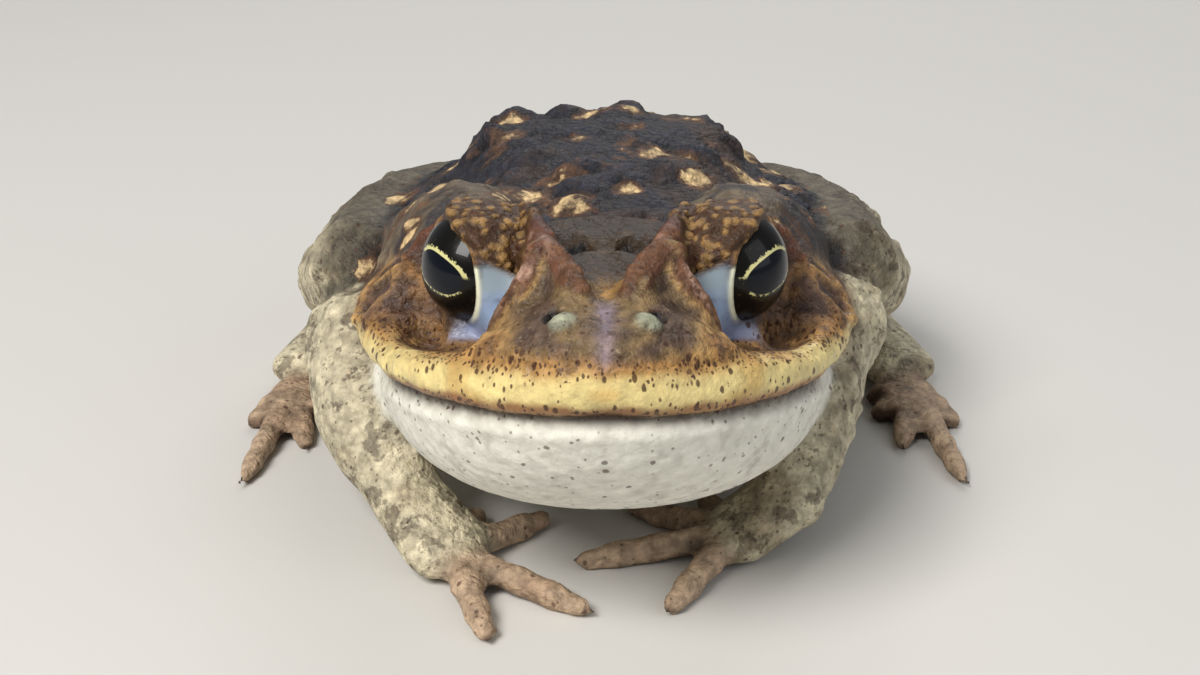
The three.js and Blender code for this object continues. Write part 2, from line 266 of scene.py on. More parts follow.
def reach(points: Array, path: Array) -> tuple[Array, Array]:
    """The shortest way from each place to a bent line.

    Args:
        points: Places, three to a row.
        path: The line's points, three to a row.

    Returns:
        The offsets from the line to each place, and the share of the line's length at which each is nearest.
    """
    best = np.full(points.shape, 1e6)
    where = np.zeros(len(points))
    lengths = np.linalg.norm(np.diff(path, axis=0), axis=1)
    run = np.concatenate([[0.0], np.cumsum(lengths)])
    for i, length in enumerate(lengths):
        along = (path[i + 1] - path[i]) / length
        share = np.clip((points - path[i]) @ along, 0, length)
        offset = points - path[i] - share[:, None] * along
        closer = np.sum(offset**2, axis=1) < np.sum(best**2, axis=1)
        best = np.where(closer[:, None], offset, best)
        where = np.where(closer, (run[i] + share) / run[-1], where)
    return best, where


def curve_through(stops: tuple, steps: int = 6) -> Array:
    """A smooth bent line through a few stops.

    Args:
        stops: The points that it passes, three numbers each.
        steps: How many straight pieces lie between two stops.

    Returns:
        The line's points.
    """
    rows = np.array(stops, float)
    padded = np.vstack([2 * rows[0] - rows[1], rows, 2 * rows[-1] - rows[-2]])
    line = []
    for i in range(1, len(padded) - 2):
        a, b, c, d = padded[i - 1 : i + 3]
        for t in np.linspace(0, 1, steps, endpoint=False):
            bend = (2 * a - 5 * b + 4 * c - d) * t**2 + (3 * b - a - 3 * c + d) * t**3
            line.append(0.5 * (2 * b + (c - a) * t + bend))
    return np.array(line + [rows[-1]])


@dataclass(frozen=True)
class HeadAxes:
    """The head's own axes. Y runs back along the mouth line from its front, and Z up from it."""

    snout_y: float = -80.0
    lip_height: float = 32.0
    pitch: float = math.radians(13.8)

    def local(self, points: Array) -> Array:
        """Places in the head's own axes, with both sides folded to positive X.

        Args:
            points: Places in the body's frame, in millimetres.

        Returns:
            The places, three to a row.
        """
        offsets = points - np.array([0, self.snout_y, self.lip_height])
        offsets[:, 0] = np.abs(offsets[:, 0])
        return self.aligned(offsets)

    def aligned(self, offsets: Array) -> Array:
        """Offsets of the body's frame, turned to the head's own axes.

        Args:
            offsets: Offsets from the middle of the mouth's front.

        Returns:
            The turned offsets.
        """
        x, back, up = offsets.T
        cos, sin = math.cos(self.pitch), math.sin(self.pitch)
        return np.stack([x, back * cos - up * sin, back * sin + up * cos], axis=1)

    def turned(self, vector: tuple, side: Side = Side.LEFT) -> Array:
        """A direction of the head's own axes, on one side, in the body's frame."""
        x, y, z = vector
        return unit(
            np.array(
                [
                    x * side.value,
                    y * math.cos(self.pitch) + z * math.sin(self.pitch),
                    z * math.cos(self.pitch) - y * math.sin(self.pitch),
                ]
            )
        )


HEAD = HeadAxes()


@dataclass
class Relief:
    """The skin's points while it is being shaped, with what the shaping and painting need to know."""

    points: Array
    edges: Array
    faces: Array
    zones: dict = field(default_factory=dict)
    normals: Array = None
    local: Array = None
    facing: Array = None

    def refresh(self) -> None:
        """Works out the outward directions and the places in the head's own axes again."""
        corners = self.points[self.faces]
        flat = np.cross(corners[:, 1] - corners[:, 0], corners[:, 2] - corners[:, 0])
        total = np.zeros_like(self.points)
        for axis in range(3):
            for corner in range(3):
                total[:, axis] += np.bincount(self.faces[:, corner], flat[:, axis], len(self.points))
        self.normals = unit(total)
        self.local = HEAD.local(self.points)
        self.facing = HEAD.aligned(self.normals)
        self.facing[:, 0] *= np.where(self.points[:, 0] < 0, -1, 1)

    def raise_by(self, height: Array) -> None:
        """Moves each point outwards by its own height."""
        self.points = self.points + self.normals * height[:, None]

    def spread(self, values: Array, rounds: int) -> Array:
        """Softens a field over the surface.

        Args:
            values: One number for each point.
            rounds: How often each point takes its neighbours' mean.

        Returns:
            The softened numbers.
        """
        a, b = self.edges[:, 0], self.edges[:, 1]
        count = np.bincount(a, minlength=len(values)) + np.bincount(b, minlength=len(values))
        for _ in range(rounds):
            total = np.bincount(a, values[b], len(values)) + np.bincount(b, values[a], len(values))
            values = 0.5 * values + 0.5 * total / np.maximum(count, 1)
        return values

    def relief(self, rounds: int) -> Array:
        """How far each point stands proud of the surface round it, in millimetres."""
        smooth = np.stack([self.spread(self.points[:, k], rounds) for k in range(3)], axis=1)
        return np.sum((self.points - smooth) * self.normals, axis=1)

    def ease(self, share: Array, rounds: int) -> None:
        """Draws each point towards its neighbours' mean, where a share from 0 to 1 says so."""
        for _ in range(rounds):
            smooth = np.stack([self.spread(self.points[:, k], 1) for k in range(3)], axis=1)
            self.points = self.points + share[:, None] * (smooth - self.points)

    def split(self, offset: Array) -> tuple[Array, Array]:
        """Parts an offset in the head's own axes into its length along the skin and its depth under it."""
        depth = np.sum(offset * self.facing, axis=1)
        return np.sqrt(np.maximum(np.sum(offset**2, axis=1) - depth**2, 0)), depth

    def zone(self, *parts: Zone) -> Array:
        """The share of each point that belongs to some parts of the body."""
        return np.clip(sum(self.zones[part] for part in parts), 0, 1)


# Features of the head, each placed in the head's own axes and on both sides


@dataclass(frozen=True)
class Ridge:
    """A crest of bone under the skin, or a furrow where its height is negative."""

    stops: tuple
    height: float
    width: float
    ends: tuple = (0.08, 0.92)
    hold: float = 2.2

    def mask(self, relief: Relief) -> Array:
        """Where the crest lies, from 0 to 1.

        Args:
            relief: The skin.

        Returns:
            One share for each point.
        """
        offset, share = reach(relief.local, curve_through(self.stops))
        distance, depth = relief.split(offset)
        fade = ramp(share, -0.02, self.ends[0]) * ramp(share, 1.02, self.ends[1])
        return bell(distance, self.width) * fade * ramp(np.abs(depth), self.hold + 0.8, self.hold)

    def shape(self, relief: Relief) -> None:
        """Raises the crest."""
        relief.raise_by(self.height * self.mask(relief))


@dataclass(frozen=True)
class Knob:
    """A round lump, or a pit where its height is negative."""

    place: tuple
    radius: float
    height: float

    def mask(self, relief: Relief) -> Array:
        """Where the lump lies, from 0 to 1.

        Args:
            relief: The skin.

        Returns:
            One share for each point.
        """
        distance, depth = relief.split(relief.local - np.array(self.place))
        dome = np.clip(1 - (distance / (1.6 * self.radius)) ** 2, 0, 1) ** 2
        return dome * ramp(np.abs(depth), 3.0, 2.2)

    def shape(self, relief: Relief) -> None:
        """Raises the lump."""
        relief.raise_by(self.height * self.mask(relief))


@dataclass(frozen=True)
class Eardrum:
    """The round drum behind the eye, a little sunk inside a low ring."""

    place: tuple = (24.2, 33.8, 7.2)
    facing: tuple = (0.86, -0.18, 0.45)
    radius: float = 3.9
    sunk: float = 0.55
    rim: float = 0.4

    def across(self, relief: Relief) -> Array:
        """How far each point is from the drum's middle, measured across its face.

        Args:
            relief: The skin.

        Returns:
            One distance for each point, large where the point lies off the drum's level.
        """
        offset = relief.local - np.array(self.place)
        facing = unit(np.array(self.facing))
        depth = offset @ facing
        flat = np.linalg.norm(offset - depth[:, None] * facing, axis=1)
        return np.where(np.abs(depth) < 4, flat, 99.0)

    def shape(self, relief: Relief) -> None:
        """Sinks the drum and raises its ring.

        Args:
            relief: The skin.
        """
        across = self.across(relief)
        ring = bell(across - self.radius, 0.75) * self.rim
        relief.raise_by(ring - self.sunk * ramp(across, self.radius - 0.2, self.radius - 1.2))


def crest_line(height: Array) -> Array:
    """How far out the cheek's crest runs at each height above the mouth line."""
    return 6.8 + (13.6 - height) * 0.72


@dataclass(frozen=True)
class LipShelf:
    """The low ground between the eye, the crest in front of it and the upper lip."""

    floor: float = 3.5
    slope: float = 0.15
    back: float = 19.0

    def drop(self, points: Array) -> Array:
        """How far the head's own solid is lowered at each place, so that the lip ends below the eye.

        Args:
            points: Places on the head's solid, in millimetres.

        Returns:
            One depth for each place.
        """
        x, y, z = HEAD.local(points).T
        crest = crest_line(z) - 0.32 * np.maximum(y - 13.5, 0)
        inside = ramp(x - crest, 0.4, 2.0) * ramp(y, 5.5, 8.5) * ramp(y, 31, 25.5) * ramp(x, 26, 20)
        floor = self.floor + self.slope * (self.back - y)
        return np.maximum(z - floor, 0) * inside * ramp(z, 15.5, 12.0)


@dataclass(frozen=True)
class EyeSetting:
    """An eye's ball and how the lids lie on it. Directions are in the head's own axes."""

    radius: float = 6.3
    opening_axis: tuple = (0.875, -0.46, -0.148)
    opening_angle: float = math.radians(61.5)
    lid_axis: tuple = (-0.585, -0.169, 0.793)
    lid_angle: float = math.radians(66)
    lid_thickness: float = 0.95
    rim_thickness: float = 0.3
    sunk: float = 1.1
    bag_axis: tuple = (-0.15, -0.76, -0.63)
    fillers: tuple = (((0, 0, 0), 6.75), ((1.2, 0.5, -5.0), 4.0), ((-2.6, -2.2, -2.0), 5.3))

    def centre(self, side: Side) -> Array:
        """The ball's middle, in millimetres."""
        low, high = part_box(f"eye_{side.word}")
        return (np.array(low) + np.array(high)) / (2 * MM)

    def filling(self, side: Side) -> list[tuple[Vector, float]]:
        """Round masses that fill the socket: the ball, the bag under it and the skin before it.

        Args:
            side: Which eye.

        Returns:
            Each mass's middle and radius.
        """
        found = []
        for offset, radius in self.fillers:
            length = np.linalg.norm(offset)
            moved = HEAD.turned(offset, side) * length
            found.append((Vector(self.centre(side) + moved), radius))
        return found

    def seen(self, relief: Relief, side: Side) -> tuple[Array, Array, Array, Array]:
        """Where each point of the skin lies round the ball.

        Args:
            relief: The skin.
            side: Which eye.

        Returns:
            Directions from the ball's middle, distances from it, and on the ball how far each point is
            outside the lower lid's edge and inside the upper lid's, in millimetres.
        """
        offset = relief.points - self.centre(side)
        distance = np.linalg.norm(offset, axis=1)
        directions = offset / distance[:, None]
        opening = HEAD.turned(self.opening_axis, side)
        lid = HEAD.turned(self.lid_axis, side)
        below = np.arccos(np.clip(directions @ opening, -1, 1)) - self.opening_angle
        above = self.lid_angle - np.arccos(np.clip(directions @ lid, -1, 1))
        return directions, distance, self.radius * below, self.radius * above

    def shape(self, relief: Relief) -> None:
        """Sinks the skin under the bare part of the ball and lays the lids round it.

        Args:
            relief: The skin.
        """
        for side in Side:
            directions, distance, below, above = self.seen(relief, side)
            tight = ramp(distance, self.radius + 1.9, self.radius + 1.1)
            wide = ramp(distance, self.radius + 4.5, self.radius + 3.0)
            near = tight + (wide - tight) * ramp(above, -1.0, 0.0)
            edge = np.clip(1.7 * below, -self.sunk, self.rim_thickness)
            low = self.radius + edge + 0.16 * bell(below - 0.45, 0.35)
            low = np.where(distance > low, low + (distance - low) * ramp(below, 0.1, 1.2), low)
            lid = self.radius + np.clip(2.2 * above, -self.sunk, self.lid_thickness)
            lid += 0.25 * bell(above - 0.8, 0.55)
            high = ramp(above, 1.2, 3.0) * ramp(distance, self.radius + 1.2, self.radius + 2.2)
            lid = lid + np.maximum(distance - lid, 0) * high
            target = np.where(above > -0.5, np.maximum(low, lid), low)
            target = np.where(above > 0.3, lid, target)
            relief.points = relief.points + directions * ((target - distance) * near)[:, None]
        relief.refresh()
        for side in Side:
            _, distance, below, above = self.seen(relief, side)
            out = distance - self.radius
            ring = ramp(out, 5.5, 4.0) * ramp(out, 0.0, 0.4)
            under = ramp(below, 0.9, 1.5) * ramp(above, -0.4, -1.0)
            relief.ease(ring * np.maximum(ramp(above, 0.9, 1.6), under), 10)
            relief.ease(ring * ramp(above, 0.3, 0.7) * 0.5, 3)

    def masks(self, relief: Relief) -> tuple[Array, Array, Array]:
        """Where the blue membrane, its pale rim and the upper lid lie, each from 0 to 1. The rim is painted
        partly as highlight.

        Args:
            relief: The skin.

        Returns:
            The three masks, one number for each point.
        """
        blue, rim, lid = (np.zeros(len(relief.points)) for _ in range(3))
        for side in Side:
            directions, distance, below, above = self.seen(relief, side)
            out = distance - self.radius
            cone = directions @ HEAD.turned(self.bag_axis, side)
            ragged = 0.05 * cloud(relief.local, 2.5, 65)
            front = ramp(cone + ragged, 0.70, 0.76) * ramp(out + 8 * ragged, 5.0, 4.2)
            floor = ramp(relief.normals[:, 2] + 3 * ragged, 0.85, 0.55)
            outside = np.maximum(ramp(below, 0.0, 0.15), ramp(out, 0.45, 0.8))
            blue = np.maximum(blue, front * floor * outside * ramp(above, 0.05, -0.15))
            edge = bell(below - 0.2, 0.28) * ramp(out, 0.9, 0.55) * ramp(cone, 0.66, 0.74)
            rim = np.maximum(rim, edge * ramp(above, -0.4, -1.2) * ramp(directions[:, 2], -0.8, -0.5))
            lid = np.maximum(lid, ramp(above, -0.2, 0.2) * ramp(out, 3.6, 2.2))
        return relief.spread(blue, 4), rim, lid


EYES = EyeSetting()
EARS = Eardrum()
YELLOW_STRIPE = Ridge(((24.6, 34.5, 4.0), (25.2, 31.5, 2.0), (26.0, 28.5, 0.8)), 0.0, 0.8)
BROW = Ridge(
    ((1.6, 7.4, 10.4), (4.0, 11.9, 13.4), (6.3, 14.6, 15.4), (7.5, 20.3, 17.4), (9.9, 28.6, 18.6)), 1.0, 1.1
)
CHEEK_CREST = Ridge(
    ((6.2, 14.2, 15.0), (7.6, 12.9, 12.6), (8.9, 12.4, 10.3), (10.5, 12.4, 8.0), (12.4, 13.4, 6.0)), 1.15, 1.0
)
CHEEK_VALLEY = Ridge(((4.6, 11.6, 12.9), (6.6, 10.0, 10.6), (8.8, 9.4, 8.2), (11.2, 10.0, 6.2)), -0.55, 1.7)
EAR_CREST = Ridge(((10.2, 29.0, 18.2), (14.5, 31.0, 17.2), (19.0, 31.6, 14.4), (22.8, 31.2, 11.4)), 0.7, 1.2)
LID_FURROW = Ridge(((8.2, 17.2, 15.2), (9.0, 21.0, 17.4), (10.6, 26.6, 18.6)), -0.7, 0.8)
CROWN_PIT = Ridge(((1.4, 27.6, 14.2), (3.4, 27.0, 14.4), (5.6, 26.0, 14.8)), -2.1, 1.2)
NOSTRIL_KNOB = Knob((4.1, 4.2, 8.9), 1.35, 0.9)
NOSTRIL = Knob((5.2, 5.6, 9.3), 0.8, -1.1)
MIDLINE = Ridge(((0, 2.0, 8.0), (0, 7.1, 10.7), (0, 12.0, 12.1), (0, 20.0, 13.4), (0, 30.0, 14.6)), -0.8, 2.3)


LIP_LENGTH = 51.0
LIP_SHARES = (0.0, 0.03, 0.09, 0.18, 0.3, 0.45, 0.6, 0.72)


def lip_half(back: Array, inset: float = 0.0) -> Array:
    """Half the upper lip's width, less an inset, at each distance back from its front."""
    return (29.6 - inset) * (1 - np.clip(1 - back / LIP_LENGTH, 0, 1) ** 2.4) ** 0.6


def lip_line(inset: float, height: float) -> tuple:
    """Points along a lip, from its middle to the corner of the mouth.

    Args:
        inset: How far the line lies inside the upper lip's outline, in millimetres.
        height: How far it lies above the mouth line.

    Returns:
        The points in the head's own axes.
    """
    stops = []
    for share in LIP_SHARES:
        back = LIP_LENGTH * share
        sag = 1.8 * ramp(np.array(share), 0.45, 0.75)
        stops.append((lip_half(back, inset), back + inset * (1 - share), height - sag))
    return tuple(stops)


MOUTH = Ridge(lip_line(1.7, -0.5), -0.75, 0.7, (0.0, 0.8))
LOWER_LIP = Ridge(lip_line(2.2, -2.2), 0.3, 0.9, (0.0, 0.97))
LIP_TOP = Ridge(
    (
        (0, 0.3, 5.3), (8.2, 3, 4.7), (11.3, 5.6, 4.7), (14.5, 9, 4.6),
        (17.9, 13, 4.3), (22.1, 18, 3.6), (26, 27, 3.9),
    ),
    -0.35,
    0.8,
)


@dataclass(frozen=True)
class Digit:
    """One finger or toe, from its CAD node: where it starts and ends."""

    root: Array
    tip: Array

    @classmethod
    def of(cls, node: str, palm: str) -> "Digit":
        """Reads a digit from its solid and the solid of the palm or sole that it leaves.

        Args:
            node: The digit's node.
            palm: The node of its palm or sole.

        Returns:
            The digit.
        """
        points = np.array([v.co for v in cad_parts[node].data.vertices]) / MM
        low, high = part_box(palm)
        middle = (np.array(low) + np.array(high)) / (2 * MM)
        far = np.linalg.norm(points - middle, axis=1)
        near_points = points[far < far.min() + 3]
        tip_points = points[far > far.max() - 1.2]
        return cls(near_points.mean(axis=0), tip_points.mean(axis=0))

    def along(self, points: Array) -> tuple[Array, Array]:
        """Millimetres back from the tip, and how far each point is from the digit's middle line.

        Args:
            points: Places in millimetres.

        Returns:
            Both distances, one number for each place.
        """
        run = self.root - self.tip
        length = np.linalg.norm(run)
        share = (points - self.tip) @ (run / length)
        flat = points - self.tip - np.clip(share, 0, length)[:, None] * (run / length)
        return share, np.linalg.norm(flat, axis=1)


def all_digits() -> list[Digit]:
    """Every finger and toe."""
    found = []
    for side in Side:
        for count, kind, palm in ((4, "finger", "hand"), (5, "toe", "foot")):
            found += [Digit.of(f"{kind}_{n + 1}_{side.word}", f"{palm}_{side.word}") for n in range(count)]
    return found


# The skin's own piece

BACK_WARTS = Cobbles(7.6, 2.5, 4.6, 0.9, 21)
BACK_GRAINS = Cobbles(3.0, 0.7, 1.5, 0.8, 22)
GLAND_WARTS = Cobbles(4.4, 1.6, 2.7, 0.95, 23)
LIMB_WARTS = Cobbles(3.6, 0.8, 1.8, 0.75, 24)
HEAD_GRAINS = Cobbles(2.2, 0.55, 1.1, 0.75, 25)
LID_GRAINS = Cobbles(1.3, 0.45, 0.8, 0.95, 26)
NECK_WARTS = Cobbles(4.2, 1.0, 2.0, 0.7, 27)
SMALL_SPOTS = Cobbles(3.6, 0.7, 1.5, 0.6, 28)
BROAD_SPOTS = Cobbles(6.4, 1.6, 3.6, 0.85, 29)


@dataclass
class ToadSkin:
    """One skin over every solid of flesh, shaped and painted as a whole."""

    gap: float = 0.35
    taken_back: float = 0.9
    voxel: float = 0.96
    edge_margin: float = 0.05
    head_back: float = 45.0
    eye_space: float = 9.6
    piece: bpy.types.Object = None
    relief: Relief = None
    marks: dict = field(default_factory=dict)

    def flesh(self) -> list[str]:
        """The nodes that the skin stands for."""
        return sorted(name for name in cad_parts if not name.startswith("eye_"))

    def wrap(self) -> None:
        """Grows every solid over the thin gaps between them and draws one surface round them all."""
        whole = bmesh.new()
        for name in self.flesh():
            part = bmesh.new()
            part.from_mesh(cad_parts[name].data)
            bmesh.ops.scale(part, vec=(1 / MM,) * 3, verts=part.verts)
            bmesh.ops.remove_doubles(part, verts=part.verts, dist=0.002)
            if name == "head":
                bmesh.ops.subdivide_edges(part, edges=part.edges, cuts=2, use_grid_fill=True)
                drop = LipShelf().drop(np.array([v.co for v in part.verts]))
                down = Vector(HEAD.turned((0, 0, -1)))
                for vertex, depth in zip(part.verts, drop):
                    vertex.co += down * depth
            part.normal_update()
            shifts = [v.normal * self.gap * min(v.calc_shell_factor(), 1.5) for v in part.verts]
            for vertex, shift in zip(part.verts, shifts):
                vertex.co += shift
            grown = mesh_of("grown", part)
            whole.from_mesh(grown)
            bpy.data.meshes.remove(grown)
        for side in Side:
            for place, radius in EYES.filling(side):
                here = Matrix.Translation(place)
                bmesh.ops.create_icosphere(whole, subdivisions=4, radius=radius, matrix=here)
        self.piece = placed("toad_skin", mesh_of("toad_skin", whole))
        cover = self.piece.modifiers.new("cover", "REMESH")
        cover.mode = "VOXEL"
        cover.voxel_size = self.voxel
        depsgraph = bpy.context.evaluated_depsgraph_get()
        covered = bpy.data.meshes.new_from_object(self.piece.evaluated_get(depsgraph))
        self.piece.modifiers.clear()
        self.piece.data = covered

    def labels(self, points: Array) -> Array:
        """Which part of the body each point lies on.

        Args:
            points: Places in millimetres.

        Returns:
            For each place, the number of the nearest part in Zone's order.
        """
        vertices, polygons, owners = [], [], []
        for name in self.flesh():
            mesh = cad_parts[name].data
            start = len(vertices)
            vertices += [v.co / MM for v in mesh.vertices]
            polygons += [[start + i for i in p.vertices] for p in mesh.polygons]
            number = next(i for i, zone in enumerate(Zone) if zone.holds(name))
            owners += [number] * len(mesh.polygons)
        tree = BVHTree.FromPolygons(vertices, polygons)
        nearest = [tree.find_nearest(Vector(p))[2] for p in points]
        return np.array(owners)[nearest]

    def soften(self, work: bmesh.types.BMesh) -> None:
        """Smooths the flat facets away, most on the trunk and least on the digits.

        Args:
            work: The working mesh.
        """
        points = np.array([v.co for v in work.verts])
        part = self.labels(points)
        kinds = list(Zone)
        verts = list(work.verts)

        def those(*zones: Zone) -> list:
            """The vertices on some parts of the body."""
            wanted = {kinds.index(zone) for zone in zones}
            return [v for v, number in zip(verts, part) if number in wanted]

        plan = (
            (those(Zone.TRUNK, Zone.JAW), 60, 0.0),
            (those(Zone.GLAND), 14, 0.0),
            (those(Zone.HEAD, Zone.ARM, Zone.LEG, Zone.PALM), 26, -0.515),
            (verts, 6, -0.52),
        )
        for chosen, rounds, outward in plan:
            for _ in range(rounds):
                smooth(work, chosen, 0.5)
                if outward:
                    smooth(work, chosen, outward)
        work.normal_update()
        for vertex in verts:
            vertex.co -= vertex.normal * self.gap * self.taken_back

    def refine(self, work: bmesh.types.BMesh) -> None:
        """Divides the faces of the head once, and those round the eyes twice.

        Args:
            work: The working mesh.
        """
        centres = [EYES.centre(side) for side in Side]
        for level in range(2):
            middles = np.array([f.calc_center_median() for f in work.faces])
            local = HEAD.local(middles)
            if level == 0:
                lowest = np.maximum(-14.5, -0.45 * local[:, 1] - 3)
                wanted = (local[:, 1] < self.head_back) & (local[:, 2] > lowest)
            else:
                away = [np.linalg.norm(middles - centre, axis=1) for centre in centres]
                wanted = np.min(away, axis=0) < self.eye_space
            chosen = [f for f, inside in zip(work.faces, wanted) if inside]
            edges = list(dict.fromkeys(e for f in chosen for e in f.edges))
            bmesh.ops.subdivide_edges(work, edges=edges, cuts=1, use_grid_fill=True, smooth=0.0)
            verts = list(dict.fromkeys(v for e in edges for v in e.verts))
            for _ in range(2):
                smooth(work, verts, 0.5)
        bmesh.ops.triangulate(work, faces=[f for f in work.faces if len(f.verts) > 4])

    def build(self) -> None:
        """Makes the skin's mesh, with every fold and wart in its shape."""
        self.wrap()
        work = bmesh.new()
        work.from_mesh(self.piece.data)
        self.soften(work)
        self.refine(work)
        work.to_mesh(self.piece.data)
        work.free()
        mesh = self.piece.data
        mesh.calc_loop_triangles()
        self.relief = Relief(
            rows_of(mesh.vertices, "co", 3),
            rows_of(mesh.edges, "vertices", 2, np.int32),
            rows_of(mesh.loop_triangles, "vertices", 3, np.int32),
        )
        self.relief.refresh()
        part = self.labels(self.relief.points)
        for number, zone in enumerate(Zone):
            self.relief.zones[zone] = self.relief.spread((part == number).astype(float), 5)
        self.sculpt()
        self.paint()
        mesh.vertices.foreach_set("co", (self.relief.points * MM).astype(np.float32).ravel())
        mesh.polygons.foreach_set("use_smooth", np.ones(len(mesh.polygons), bool))
        mesh.update()
        LOG.info("toad_skin: %d points, %d triangles", len(mesh.vertices), len(mesh.loop_triangles))

    def sculpt(self) -> None:
        """Shapes the crests, lids, lips, folds, glands and warts."""
        relief = self.relief
        grounds = (MIDLINE, CHEEK_VALLEY, LID_FURROW, CROWN_PIT, LIP_TOP, EARS)
        crests = (BROW, CHEEK_CREST, EAR_CREST, NOSTRIL_KNOB, LOWER_LIP)
        for feature in grounds + crests:
            feature.shape(relief)
        relief.refresh()
        MOUTH.shape(relief)
        NOSTRIL.shape(relief)
        relief.refresh()
        EYES.shape(relief)
        relief.refresh()
        x, y, z = relief.local.T
        mouth_corner = ramp(y, 22, 28) * ramp(y, 50, 44) * ramp(np.abs(z + 3), 6, 4) * ramp(x, 15, 19)
        relief.ease(mouth_corner, 12)
        relief.refresh()
        self.wrinkle()
        relief.refresh()
        self.raise_warts()
        relief.refresh()
        self.settle()

    def wrinkle(self) -> None:
        """Presses the folds of the cheeks, throat and flanks, and the digits' joints."""
        relief = self.relief
        blue, rim, lid = EYES.masks(relief)
        keep = 1 - np.clip(blue + rim, 0, 1)
        x, y, z = relief.local.T
        cheek = ramp(y, 24, 29) * ramp(y, 45, 40) * ramp(z, 1, 4) * relief.zone(Zone.HEAD) * ramp(x, 14, 18)
        folds = np.sin(2 * math.pi * (y + 0.35 * z + 1.4 * cloud(relief.local, 7, 5)) / 2.6)
        height = 0.22 * cheek * folds
        throat = relief.zone(Zone.JAW)
        creases = np.sin(2 * math.pi * (y + 2.2 * cloud(relief.local, 9, 6)) / 1.9)
        height += 0.07 * throat * ramp(z, -3.0, -6.0) * creases
        body = relief.zone(Zone.TRUNK, Zone.LEG, Zone.ARM, Zone.GLAND)
        height += body * (0.3 * cloud(relief.points, 9.0, 7) + 0.1 * cloud(relief.points, 3.4, 8))
        height += relief.zone(Zone.HEAD) * 0.12 * cloud(relief.local, 3.0, 9) * keep * (1 - lid)
        for digit in all_digits():
            back, off = digit.along(relief.points)
            near = ramp(off, 3.6, 2.6) * ramp(back, -2.5, -1.5) * relief.zone(Zone.DIGIT)
            joints = sum(bell(back - place, 1.3) for place in (1.3, 5.6, 10.4, 16.0))
            height += near * (0.22 * joints - 0.08)
        relief.raise_by(height)

    def raise_warts(self) -> None:
        """Raises the warts of the back, glands, limbs and head above a slightly lowered ground."""
        relief = self.relief
        upward = ramp(relief.normals[:, 2], -0.45, 0.15)
        blue, rim, lid = EYES.masks(relief)
        place = relief.points
        back = relief.zone(Zone.TRUNK) * upward
        sway = np.stack([cloud(place, 4.5, seed) for seed in (61, 62, 63)], axis=1)
        warped = (place + 1.1 * sway) * np.array([0.8, 1.1, 0.9])
        large = BACK_WARTS.nearest(warped)
        dome = np.clip(1 - large**2, 0, 1) ** 1.2
        small = BACK_GRAINS.domes(place + 0.5 * sway)
        rough = 0.22 * cloud(place, 1.9, 68)
        height = back * (1.55 * dome + 0.6 * small * (1 - 0.5 * dome) - 1.15 + rough)
        gland = relief.zone(Zone.GLAND)
        height += gland * (0.7 * GLAND_WARTS.domes(place) - 0.3)
        limb = relief.zone(Zone.ARM, Zone.LEG) * ramp(relief.normals[:, 2], -0.6, 0.0)
        height += limb * (0.5 * LIMB_WARTS.domes(place) - 0.15)
        _, y, z = relief.local.T
        plain = 1 - np.clip(blue + rim, 0, 1)
        lips = ramp(z, 6.0, 4.0) * ramp(y, 34, 26)
        head = relief.zone(Zone.HEAD) * plain * (1 - lips) * ramp(y, 2, 10)
        height += head * 0.26 * HEAD_GRAINS.domes(relief.local)
        height += head * ramp(y, 24, 30) * 0.45 * NECK_WARTS.domes(relief.local)
        grains = LID_GRAINS.nearest(relief.local + 0.25 * cloud(relief.local, 1.5, 64)[:, None])
        height += lid * (0.3 * np.clip(1 - grains**2, 0, 1) - 0.05)
        relief.raise_by(height)
        high = (back + gland > 0.3) & (place[:, 2] + 6 * relief.normals[:, 2] > 13)
        flat = (place + 1.2 * sway) * np.array([0.75, 1.05, 0.08])
        broad = BROAD_SPOTS.nearest(flat)
        tiny = SMALL_SPOTS.nearest(flat)
        spots = np.maximum(0.74 - broad, 0.62 - tiny)
        self.marks["spots"] = np.where(high, spots, -1.0)
        # Mask of the gaps between the lid's grains, where the paint lays painted shade.
        self.marks["lid_gaps"] = lid * ramp(grains, 0.75, 1.05)

    def settle(self) -> None:
        """Keeps the skin inside the solids' box, with its underside flat on the floor."""
        low, high = (np.array(corner) / MM for corner in CAD_BOX)
        margin = self.edge_margin * np.array([1, 1, 0])
        self.relief.points = np.clip(self.relief.points, low + margin, high - self.edge_margin)
        self.relief.refresh()

    def paint(self) -> None:
        """Works out each point's colour, with painted shade in hollows, pits, furrows and the mouth line and
        painted highlight on raised points, crest tops and the eye's rim, and the masks that the finish reads.
        """
        relief, marks = self.relief, self.marks
        place, up = relief.points, relief.normals[:, 2]
        local = relief.local
        x, y, z = local.T
        blue, rim, lid = EYES.masks(relief)
        head = relief.zone(Zone.HEAD)
        jaw = relief.zone(Zone.JAW)
        trunk = relief.zone(Zone.TRUNK)
        gland = relief.zone(Zone.GLAND)
        limb = relief.zone(Zone.ARM, Zone.LEG, Zone.PALM, Zone.DIGIT)
        patch = cloud(place, 9.0, 41)
        fine = cloud(place, 2.2, 42)
        streak = cloud(local * np.array([1.0, 1.0, 0.4]), 3.2, 48)
        tint = np.tile(Tone.LIMB.light, (len(place), 1))

        def lay(colour: Tone, mask: Array, strength: float = 1.0) -> None:
            """Covers the colours so far with another, where a mask says."""
            share = np.clip(mask * strength, 0, 1)[:, None]
            tint[:] = tint * (1 - share) + colour.light * share

